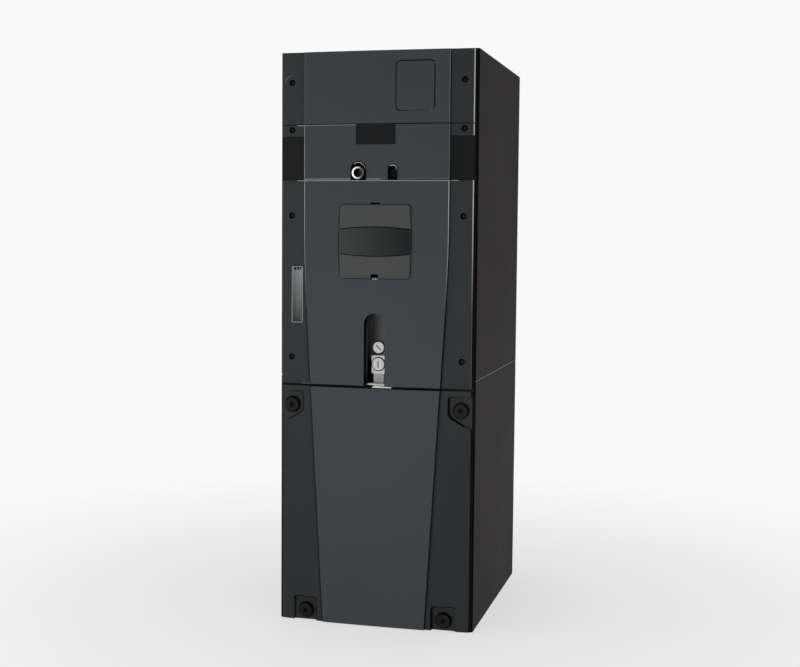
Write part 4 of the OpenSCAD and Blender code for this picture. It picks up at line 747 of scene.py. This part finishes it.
def panel_look(node, face, x, y, z):
    across, sunk = abs(x) - zone_half(z), y - band_front(x)
    blower = node == "blower_panel"
    # The blower panel's top face, in the gap under the coil panel, is painted black as shade
    if blower and face.normal.z > 0.9 and z > PANEL_ENDS[node][1] - END_ZONE:
        return SHADE_BLACK
    # The screw wells are painted black as shade
    if near_any(x, z, SCREWS, WELL_R) and sunk > 0.3:
        return SHADE_BLACK
    # The right outer edge of the upper panels carries a bright painted highlight, and the right side faces
    # are painted black as shade
    if abs(x) > PANEL_HALF - 3.4 and face.material_index == HIGHLIGHT:
        return BRIGHT_HIGHLIGHT if x > 0 and not blower else BAND
    if x > PANEL_HALF - 3.1 and face.normal.x > 0.5:
        return SHADE_BLACK
    if face.material_index == HIGHLIGHT:
        return rim_look(node, x, z, across)
    sideways = face.normal.y > -0.8
    if node == "coil_panel":
        # Beside the badge's left edge, in its sunk field and on the drain slot's walls: painted black shade
        beside = face.material_index == SHADE_BLACK and -BADGE_HALF - 4 < x < 1 - BADGE_HALF
        field = abs(x) < BADGE_HALF + 1.8 and abs(z - BADGE_Z) < BADGE_HALF + 4 and y > BADGE_FLOOR_Y
        if beside or field or abs(x) < SLOT_HALF and z < SLOT_TOP and sideways:
            return SHADE_BLACK
    if node == "heater_panel":
        # The breaker window's walls are painted black as shade
        if abs(x - BREAKER_X) < WINDOW_HALF and abs(z - BREAKER_Z) < WINDOW_HALF_Z and y > WINDOW_Y:
            return SHADE_BLACK if face.normal.y > -0.85 else PLAIN
    if node == "lineset_panel":
        # The ports' walls are painted black as shade
        if abs(x) < PORTS_HALF and z < PORTS_TOP and sideways:
            return SHADE_BLACK
        if abs(x) < FIELD_HALF and z > FIELD_FOOT and y > FIELD_Y:
            return RECESS
        if across > 1 and z < SIDE_FIELD_TOP and sunk > 0.9:
            return RECESS
    # In the blower panel's pockets the floors keep the band's colour; rims and walls are painted black as
    # shade, except the left-facing walls of the lower right pocket, kept in the lighter panel colour as lit
    if blower and across > 3 and sunk > 0.3:
        if face.normal.y < -0.8:
            return BAND
        return PLAIN if x > 0 and z < LOW_POCKET_TOP and face.normal.x < -0.6 else SHADE_BLACK
    # Beside the seams the faces take the seam's painted shade
    if -3 < across < 3.6 and sunk > 0.9 and face.normal.y < -0.5:
        return SEAM
    if -0.4 < across < 3.6 and abs(face.normal.x) > 0.5 and sunk > 0.2:
        return SEAM
    return BAND if across > 1 else PLAIN


def crown_rim(node):
    return both_ends(lambda x, y, z: y <= -9 and (
        abs(abs(x) - zone_half(z)) < 0.3 or min(abs(z - end) for end in PANEL_ENDS[node]) < 0.3))


# The panels' outer edge is chamfered over this width
CHAMFER = 2.7


def outer_rim(node):
    low, high = PANEL_ENDS[node]

    def rule(x, y, z):
        off = abs(y - band_front(x))
        side = abs(abs(x) - PANEL_HALF + CHAMFER) < 0.4 and off < 0.4
        upper = node in ("coil_panel", "lineset_panel") and high - z < 0.3
        lower = node == "coil_panel" and z - low < 0.3
        return side or (upper or lower) and abs(x) < LIT_HALF and off < 0.3
    return both_ends(rule)


def groove_rim(node):
    return both_ends(lambda x, y, z: abs(abs(x) - zone_half(z) - GROOVE_W) < 0.3 and y < band_front(x) + 0.3)


# The pockets' mouth ends just inside the chamfer, and one edge there is the panel's own
MOUTH_HALF, CHAMFER_EDGE = 214.5, 213.5


def pocket_rim(edge):
    def near(x, y, z):
        inside = 3 < abs(x) - zone_half(z) and abs(x) < MOUTH_HALF and 2.5 < z < 531
        return inside and abs(y - band_front(x)) < 0.25
    outer = all(abs(vertex.co.x) / MM > CHAMFER_EDGE for vertex in edge.verts)
    return both_ends(near)(edge) and not outer


def badge_rim(x, y, z):
    return BADGE_HALF - 0.5 < -x < BADGE_HALF + 3 and abs(z - BADGE_Z) < BADGE_HALF + 4 and y < -14


# The coil panel comes as a head and two legs; this closes the hair's gap between them
BUTT_Z = 670.95


def weld_cut(piece, height):
    open_mesh(piece)
    ends = mark(piece, "FACE", lambda face: abs(face.normal.z) > 0.9
                and abs(face.calc_center_median().z / MM - height) < 0.3)
    bpy.ops.mesh.delete(type="FACE")
    bpy.ops.mesh.select_mode(type="VERT")
    bpy.ops.mesh.select_all(action="DESELECT")
    grid = bmesh.from_edit_mesh(piece.data)
    for vertex in grid.verts:
        if abs(vertex.co.z / MM - height) < 0.3:
            vertex.co.z = height * MM
            vertex.select_set(True)
    bmesh.update_edit_mesh(piece.data)
    bpy.ops.mesh.remove_doubles(threshold=0.00005)
    pick_all()
    bpy.ops.mesh.dissolve_limited(angle_limit=math.radians(0.4))
    grid = bmesh.from_edit_mesh(piece.data)
    left = sum(len(edge.link_faces) != 2 for edge in grid.edges)
    print("  end faces removed", ends, "open edges left", left)
    close_mesh()


def panel_piece(node, body, name):
    piece = merged_copy(node, name)
    blower = node == "blower_panel"
    if node == "coil_panel":
        weld_cut(piece, BUTT_Z)
    set_looks(piece, *PANEL_LOOKS)
    # Rims are bevelled in the painted highlight look; the grooves', badge's and pockets' edges in the black
    # painted shade look
    rims = round_edges(piece, 1.3, crown_rim(node), 50, 3, HIGHLIGHT)
    grooves = round_edges(piece, 2.0 if blower else 0.5, groove_rim(node), 50, 1, SHADE_BLACK)
    rims += round_edges(piece, 1.2, outer_rim(node), 30, 1, HIGHLIGHT, False)
    if node == "coil_panel":
        round_edges(piece, 1.2, both_ends(badge_rim), 50, 1, SHADE_BLACK, False)
    pockets = round_edges(piece, 2.2, pocket_rim, 40, 1, SHADE_BLACK, False) if blower else 0
    others = round_edges(piece, 0.5, both_ends(lambda x, y, z: y < -0.5), 45, 2)
    choose_looks(piece, lambda *place: panel_look(node, *place))
    finish_mesh(piece, 34)
    dress(piece, body, "panel_plastic", node)
    print("  rims", rims, "groove edges", grooves, "pocket edges", pockets, "other edges", others)


for word in ("heater", "lineset", "coil"):
    panel_piece(word + "_panel", "cabinet", word + "_front")
panel_piece("blower_panel", "blower_door", "blower_front")

# %% [markdown]
# ## Covers, bezel and drain
# The square cover in the coil panel has a glossier belt, painted lighter on its left and darker on its
# right as light and shade, between two dark lines of painted shade; the breaker cover is a piece of
# the centre zone with its sides painted black as shade, and the bezel is a small light-rimmed trough
# whose painted reflection darkens towards its foot. Each rule below gives a look's place in the list
# that its call names.

# %% Badge cover, breaker cover, bezel, latch


def looks_piece(node, body, name, looks, radius, rule=None, choose=None):
    piece = merged_copy(node, name)
    set_looks(piece, *looks)
    round_edges(piece, radius, rule, 45)
    if choose:
        choose_looks(piece, choose)
    finish_mesh(piece, 34)
    dress(piece, body, SLOT_OF[node], node)


def in_front_of(depth):
    return both_ends(lambda x, y, z: y < depth)


# The belt's half height and front, the cover's rear edge, and the notch at its foot
BELT_HALF, BELT_Y, COVER_Y = 31.5, -18.2, -17.6
NOTCH_HALF, NOTCH_TOP = 9.5, 784.0


# The belt's front faces take the belt look; its sides, the cover's sides and the notch at its foot are
# painted black as shade
def badge_look(face, x, y, z):
    if abs(z - BADGE_Z) < BELT_HALF and y < BELT_Y:
        return 1 if face.normal.y < -0.6 else 2
    if y > COVER_Y and abs(face.normal.y) < 0.5:
        return 2
    return 2 if abs(x) < NOTCH_HALF and z < NOTCH_TOP and face.normal.y > -0.7 else 0


looks_piece("badge_cover", "badge", "badge_front", ["badge_plastic", "belt_shaded", "shade_black"], 0.5,
            in_front_of(-16), badge_look)
# The breaker cover's sides are painted black as shade
looks_piece("breaker_cover", "breaker_flap", "breaker_front", ["panel_plastic", "shade_black"], 0.4,
            in_front_of(-9.2), lambda face, x, y, z: 1 if abs(face.normal.y) < 0.9 else 0)
BEZEL_X, BEZEL_Z = -179.8, 735.9
TROUGH_HALF, TROUGH_HALF_Z, TROUGH_Y = 11.2, 60.7, -7.3
# The stop at the bezel's upper end, above its middle, is painted black as shade
STOP_Z, STOP_HALF, STOP_Y = 53.0, 9.0, -5.9


def bezel_look(face, x, y, z):
    off, up = abs(x - BEZEL_X), z - BEZEL_Z
    if up > STOP_Z and y > STOP_Y and off < STOP_HALF:
        return 2
    return 1 if off < TROUGH_HALF and abs(up) < TROUGH_HALF_Z and y > TROUGH_Y else 0


looks_piece("side_bezel", "cabinet", "bezel_body", ["bezel_plastic", "trough_reflection", "shade_black"], 0.4,
            in_front_of(-6), bezel_look)
looks_piece("badge_latch", "cabinet", "latch_tongue", ["bezel_plastic"], 0.3)

# %% The two dark lines of painted shade along the badge's belt
BELT_BOW = 5.6
BELT_R = (BADGE_HALF ** 2 + BELT_BOW ** 2) / (2 * BELT_BOW)
BELT_MIDDLE = 25.5 + BELT_BOW
# Where a line's two edges lie from the belt's edge, and the plane it lies in
LINE_OUT, LINE_IN, LINE_Y = 1.8, -1.1, -18.1


def belt_line(name, side):
    bpy.ops.mesh.primitive_grid_add(x_subdivisions=32, y_subdivisions=1, size=1, location=(0, 0, 0))
    piece = bpy.context.object
    piece.name = name
    for vertex in piece.data.vertices:
        x = vertex.co.x * 2 * (BADGE_HALF - 2.2)
        drop = BELT_R - math.sqrt(BELT_R ** 2 - x * x)
        out = BELT_MIDDLE - drop + (LINE_OUT if vertex.co.y > 0 else LINE_IN)
        vertex.co = (x * MM, EDGE_Y + LINE_Y * MM, (BADGE_Z + side * out) * MM)
    thick = piece.modifiers.new("thickness", "SOLIDIFY")
    thick.thickness = 0.3 * MM
    thick.offset = 0
    take(piece)
    bpy.ops.object.modifier_apply(modifier=thick.name)
    open_mesh(piece)
    close_outwards()
    finish_mesh(piece)
    dress(piece, "badge", "black_plastic", look="shade_black")


belt_line("belt_line_upper", 1)
belt_line("belt_line_lower", -1)

# %% Drain column, fitting and deck
# The column's half width, rear side and foot; the fitting's foot between two heights, its nipple
COLUMN_HALF, COLUMN_Y, COLUMN_FOOT = 16.4, 46.0, 560.0
BLOCK_FOOT, STEP_TOP, NIPPLE_Z, NIPPLE_R = 562.2, 545.0, 551.0, 2.6
# The deck's middle, which shows through the drain slot and is painted black as shade
DECK_HALF, DECK_Y = 27.0, 31.0


# Outside the column the pan keeps its nearly black painted shade
def pan_look(face, x, y, z):
    return 1 if abs(x) < COLUMN_HALF and y < COLUMN_Y and z > COLUMN_FOOT else 0


# The nipple's sides are painted black as shade
def fitting_look(face, x, y, z):
    if z > BLOCK_FOOT or z < STEP_TOP and face.normal.z > -0.5:
        return 0
    return 2 if math.hypot(x, z - NIPPLE_Z) < NIPPLE_R and abs(face.normal.y) < 0.8 else 1


def deck_look(face, x, y, z):
    return 1 if abs(x) < DECK_HALF and y < DECK_Y else 0


for node, looks, radius, rule in (
        ("drain_pan", ["pan_plastic", "column_shaded"], 0.8, pan_look),
        ("drain_fitting", ["white_plastic", "fitting_foot", "shade_black"], 0.5, fitting_look),
        ("blower_deck", ["zinc_steel", "shade_black"], 0.6, deck_look)):
    looks_piece(node, "cabinet", node + "_body", looks, radius, None, rule)

# %% [markdown]
# ## Turned pieces
# Knobs, screws, plugs and seals are all turned about an axis that points to the front. One helper
# takes a profile as pairs of radius and depth and spins it; the rest is what makes each piece
# itself: scallops on the knob's grip, a hexagon on the screw, a slot across the plug.

# %% The lathe


def spun(name, profile, x, z, steps, angle, loop):
    mesh = bpy.data.meshes.new(name)
    points = [((x + r) * MM, EDGE_Y + y * MM, z * MM) for r, y in profile]
    edges = [(i, i + 1) for i in range(len(points) - 1)] + ([(len(points) - 1, 0)] if loop else [])
    mesh.from_pydata(points, edges, [])
    piece = add_object(name, mesh)
    open_mesh(piece)
    pick_all()
    bpy.ops.mesh.spin(steps=steps, angle=angle, center=(x * MM, EDGE_Y, z * MM), axis=(0, 1, 0))
    return piece


def lathe(name, profile, x, z, steps, loop=False):
    piece = spun(name, profile, x, z, steps, math.tau, loop)
    pick_all()
    bpy.ops.mesh.remove_doubles(threshold=0.000002)
    close_outwards()
    return piece


# %% Knobs
KNOB_PROFILE = [(0, -2.5), (4.6, -2.5), (4.6, -6.1), (5.0, -6.5), (7.2, -6.5), (7.5, -6.1), (8.3, -6.1),
                (8.6, -6.5), (13.9, -6.5), (14.7, -6.2), (15.2, -5.6), (15.5, -4.7), (15.5, -0.8),
                (18.1, -0.8), (18.5, -0.4), (18.5, 1.7), (4.5, 1.7), (4.5, 24.0), (0, 24.0)]
# The grip's scallops: the ring in which they lie, their number and their depth as a share
GRIP_LOW, GRIP_HIGH, SCALLOPS, SCALLOP_SHARE = 14.6, 15.6, 12, 0.07


def knob(letter, place, node):
    x, z = place
    piece = lathe("quarter_turn_knob_" + letter, KNOB_PROFILE, x, z, 96)
    for vertex in piece.data.vertices:
        vx, vy, vz = place_of(vertex.co)
        radius, turn = math.hypot(vx - x, vz - z), math.atan2(vz - z, vx - x)
        if GRIP_LOW < radius < GRIP_HIGH and vy > -6:
            share = 1 - SCALLOP_SHARE * max(0.0, math.cos(SCALLOPS * turn)) ** 2
            vertex.co.x = (x + (vx - x) * share) * MM
            vertex.co.z = (z + (vz - z) * share) * MM
    # The grip's front face is painted lighter than the rest of the knob, as lit
    set_looks(piece, "knob_plastic", "knob_face_lit")
    choose_looks(piece, lambda face, vx, vy, vz: 1 if (
        face.normal.y < -0.9 and math.hypot(vx - x, vz - z) > 5 and vy < -6) else 0)
    finish_mesh(piece, 30)
    dress(piece, "knob_" + letter, "black_plastic", node)


for letter, node in zip("abcd", ("knob_top_left", "knob_top_right", "knob_low_left", "knob_low_right")):
    knob(letter, KNOBS[letter], node)

# %% Screws
# Turns an axis that points up to the front
TO_FRONT = (math.pi / 2, 0, 0)


def screw(number, x, z):
    shank = [(0, 1.5), (4.5, 1.5), (5.0, 1.8), (5.0, 2.5), (2.1, 2.5), (2.1, 19.0), (0, 19.0)]
    piece = lathe("panel_screw_" + str(number), shank, x, z, 24)
    bpy.ops.mesh.primitive_cylinder_add(vertices=6, radius=4.62 * MM, depth=3.2 * MM, rotation=TO_FRONT,
                                        location=(x * MM, EDGE_Y + 0.6 * MM, z * MM))
    head = bpy.context.object
    take(head)
    settle()
    round_edges(head, 0.5, segments=1)
    take(piece, head)
    bpy.ops.object.join()
    finish_mesh(piece, 30)
    dress(piece, "cabinet", "zinc_steel", "panel_screws", look="screw_dark")


for number, (x, z) in enumerate(SCREWS, 1):
    screw(number, x, z)

# %% A small crescent rib beside the heater panel's left screw, in the pale painted highlight colour


def crescent(name, x, z, radius, first, last):
    place = (x * MM, EDGE_Y + (band_front(x) + 0.4) * MM, z * MM)
    bpy.ops.mesh.primitive_torus_add(major_radius=radius * MM, minor_radius=0.8 * MM, major_segments=96,
                                     minor_segments=10, location=place, rotation=TO_FRONT)
    piece = bpy.context.object
    piece.name = name
    take(piece)
    settle()
    open_mesh(piece)
    mark(piece, "FACE", lambda face: not first < math.degrees(math.atan2(
        face.calc_center_median().z / MM - z, face.calc_center_median().x / MM - x)) < last)
    bpy.ops.mesh.delete(type="FACE")
    pick_all()
    bpy.ops.mesh.fill_holes(sides=12)
    close_outwards()
    finish_mesh(piece, 40)
    dress(piece, "cabinet", "panel_plastic", look="edge_highlight_pale")


crescent("screw_crescent", -SCREW_X, 1200.0, 15.6, 98.0, 174.0)

# %% Drain plugs and their rings
UPPER_PLUG_Z, LOWER_PLUG_Z = 620.6, 583.7
# Radius of a plug's shank and of its ring's bore
SHANK_R, RING_BORE = 11.5, 11.6


def plug(name, z, radius, front, turn):
    back = front + 2.5
    piece = lathe(name, [(0, front), (radius - 0.7, front), (radius, front + 0.7), (radius, back),
                         (SHANK_R, back), (SHANK_R, 41.0), (0, 41.0)], 0, z, 48)
    bpy.ops.mesh.primitive_cube_add(size=1, location=(0, EDGE_Y + front * MM, z * MM), rotation=(0, turn, 0))
    slit = bpy.context.object
    slit.scale = (2.4 * MM, 2.8 * MM, 15.0 * MM)
    cut = piece.modifiers.new("slot", "BOOLEAN")
    cut.object = slit
    cut.solver = "EXACT"
    take(piece)
    bpy.ops.object.modifier_apply(modifier=cut.name)
    bpy.data.objects.remove(slit)
    set_looks(piece, "white_plastic", "shade_black")
    # The slot's walls and floor are painted black as shade
    choose_looks(piece, lambda face, x, y, height: 1 if (
        math.hypot(x, height - z) < 7.6 and front + 0.1 < y < front + 2) else 0)
    finish_mesh(piece, 30)
    dress(piece, "cabinet", "white_plastic", "drain_plugs")


def ring(name, z, radius, back):
    piece = lathe(name, [(RING_BORE, back - 1.3), (RING_BORE + 0.3, back - 1.5), (radius - 0.5, back - 1.5),
                         (radius, back - 1.1), (radius, back), (RING_BORE, back)], 0, z, 48, loop=True)
    finish_mesh(piece, 30)
    dress(piece, "cabinet", "seal_rubber", "drain_seals")


plug("drain_plug_upper", UPPER_PLUG_Z, 12.6, 20.0, math.radians(-45))
plug("drain_plug_lower", LOWER_PLUG_Z, 13.8, 18.0, 0.0)
ring("drain_ring_upper", UPPER_PLUG_Z, 15.2, 24.0)
ring("drain_ring_lower", LOWER_PLUG_Z, 15.9, 22.0)

# %% [markdown]
# ## Tube stubs
# The suction stub is bright metal at the front, where it is cleaned for brazing, with a painted
# highlight on its left fading into painted shade on its right; the liquid stub's front and the suction
# bore are painted as dull metal in shade, the liquid bore black as shade. Both turn to plain copper
# behind the panel.

# %% Suction and liquid line
STUB_X, STUB_Z, STUB_FOOT, STUB_BACK = 38.4, 1003.0, 985.0, 27.9
SUCTION_BORE, LIQUID_BORE = 9.9, 5.2


# Bore faces take the third look, painted shade inside the tube
def stub_look(face, x, y, z):
    bore = math.hypot(abs(x) - STUB_X, z - STUB_Z) < (SUCTION_BORE if x < 0 else LIQUID_BORE)
    if bore and face.normal.y > -0.9 and y < STUB_BACK + 8:
        return 2
    return 0 if y > STUB_BACK or z < STUB_FOOT else 1


for node, name, stub, bore in (("suction_line", "suction_tube", "stub_chrome_sheen", "stub_shaded"),
                               ("liquid_line", "liquid_tube", "stub_shaded", "shade_black")):
    looks_piece(node, "cabinet", name, ["tube_metal", stub, bore], 0.6, in_front_of(3), stub_look)

# %% [markdown]
# Inside each port of the panel lies a thin rubber lip. It is a flat band bent into an arch: a
# small profile is spun through half a turn, and its two ends are pulled down. Its front chamfer
# carries a painted highlight along the upper part of the arch; the rest is black.

# %% Rubber lips in the two ports
PORT_Z, LIP_FOOT_Z = 1010.5, 990.2


def port_lip(name, x, inner, outer):
    profile = [(inner, -12.0), (inner, -15.0), (inner + 1.3, -16.2), (outer, -16.2), (outer, -12.0)]
    piece = spun(name, profile, x, PORT_Z, 32, math.pi, True)
    mark(piece, "EDGE", lambda edge: len(edge.link_faces) == 1)
    bpy.ops.mesh.extrude_region_move(TRANSFORM_OT_translate={"value": (0, 0, (LIP_FOOT_Z - PORT_Z) * MM)})
    pick_all()
    bpy.ops.mesh.fill_holes(sides=5)
    close_outwards()
    set_looks(piece, "shade_black", "edge_highlight_bright")
    choose_looks(piece, lambda face, px, py, pz: 1 if (
        -16.1 < py < -15.1 and -10 < math.degrees(math.atan2(pz - PORT_Z, px - x)) < 130) else 0)
    finish_mesh(piece, 20)
    dress(piece, "cabinet", "seal_rubber")


port_lip("suction_port_lip", -STUB_X, 14.2, 17.45)
port_lip("liquid_port_lip", STUB_X, 8.2, 10.95)

# %% [markdown]
# ## Inside
# With the blower panel off, the controls, the blower on its rails and the filter are in view, and
# the heater and the coil show through the openings at the top. Their sheet, card and foam pieces
# have the right form already and only lose their sharp edges.

# %% Sheet metal, foam and card
for node, radius in (
        ("panel_gaskets", 0.4), ("seam_gasket", 0.4), ("heater_liner", 1.5), ("lineset_liner", 1.5),
        ("coil_liner", 1.5), ("control_box", 0.5), ("motor_mount", 0.5), ("motor_body", 1.5),
        ("heater_plates", 0.4), ("slide_rails", 0.4), ("filter_frame", 0.6), ("blower_housing", 0.5),
        ("coil_plates", 0.4), ("breaker_bodies", 0.8), ("knob_receivers", 0.4), ("metering_valve", 0.6)):
    softened(node, "cabinet", radius)
for node in ("wheel_rings", "wheel_hub", "motor_shaft"):
    softened(node, "blower_rotor", 0.5)
softened("blower_liner", "blower_door", 1.5)
softened("breaker_handle_left", "lever_left", 0.6)
softened("breaker_handle_right", "lever_right", 0.6)

# %% Control board and transformer
# Front face of the board, and the heights that part relays, capacitors and terminals
BOARD_FACE_Y, RELAY_FOOT, TERMINAL_TOP = 80.4, 486.0, 460.0
LAMINATION_Y = 60.2


def board_look(face, x, y, z):
    if y > BOARD_FACE_Y - 0.1:
        return 0
    if z > RELAY_FOOT:
        return 1
    return 2 if z < TERMINAL_TOP else 3


looks_piece("control_board", "cabinet", "control_board_body",
            ["board_green", "relay_black", "terminal_grey", "capacitor_sleeve"], 0.5, None, board_look)
looks_piece("transformer", "cabinet", "transformer_body", ["black_plastic", "lamination_steel"], 0.8, None,
            lambda face, x, y, z: 1 if y > LAMINATION_Y else 0)

# %% [markdown]
# The coil's two leaning packs are thin aluminium plates on copper tubes. One plate and one tube
# are made upright, repeated by array modifiers, then leaned and, on the left, mirrored.

# %% Fin packs and their tubes
COIL_FOOT = Vector((138.0, 0.0, 555.0))
# Where a pack's inner side ends at the top, and how far above its foot
APEX_X, APEX_RISE = 9.7, 352.4
COIL_LEAN = math.atan((COIL_FOOT.x - APEX_X) / APEX_RISE)
SLAB_T, SLAB_L, SLAB_D, SLAB_FRONT = 44.0, 375.0, 410.0, 82.0
FIN_PITCH, FIN_T, TUBE_PITCH, TUBE_R = 3.4, 0.35, 25.4, 4.76


def lean(piece, side):
    for vertex in piece.data.vertices:
        x, y, z = vertex.co / MM
        turned = (COIL_FOOT.x + x * math.cos(COIL_LEAN) - z * math.sin(COIL_LEAN),
                  COIL_FOOT.z + x * math.sin(COIL_LEAN) + z * math.cos(COIL_LEAN))
        vertex.co = (side * turned[0] * MM, EDGE_Y + y * MM, turned[1] * MM)
    open_mesh(piece)
    close_outwards()


def repeated(piece, count, step, name):
    rows = piece.modifiers.new(name, "ARRAY")
    rows.use_relative_offset = False
    rows.use_constant_offset = True
    rows.constant_offset_displace = [value * MM for value in step]
    rows.count = count
    take(piece)
    bpy.ops.object.modifier_apply(modifier=rows.name)


def fin_pack(side, node, name):
    count = int(SLAB_D / FIN_PITCH)
    place = (SLAB_T / 2 * MM, (SLAB_FRONT + 1) * MM, SLAB_L / 2 * MM)
    bpy.ops.mesh.primitive_cube_add(size=1, location=place)
    piece = bpy.context.object
    piece.name = name
    piece.scale = ((SLAB_T - 1) * MM, FIN_T * MM, (SLAB_L - 1) * MM)
    settle()
    repeated(piece, count, (0, (SLAB_D - 2) / (count - 1), 0), "plates")
    lean(piece, side)
    finish_mesh(piece)
    dress(piece, "cabinet", "fin_aluminium", node)


def coil_tubes(side, name):
    place = (12 * MM, (SLAB_FRONT + SLAB_D / 2) * MM, TUBE_PITCH * MM * 0.75)
    bpy.ops.mesh.primitive_cylinder_add(vertices=12, radius=TUBE_R * MM, depth=SLAB_D * MM,
                                        rotation=TO_FRONT, location=place)
    piece = bpy.context.object
    piece.name = name
    settle()
    repeated(piece, 2, (20, 0, 0), "rows")
    repeated(piece, 14, (0, 0, TUBE_PITCH), "steps")
    lean(piece, side)
    finish_mesh(piece)
    dress(piece, "cabinet", "tube_metal")


for side, word in ((-1, "left"), (1, "right")):
    fin_pack(side, "coil_" + word + "_slab", "fin_pack_" + word)
    coil_tubes(side, "coil_tubes_" + word)
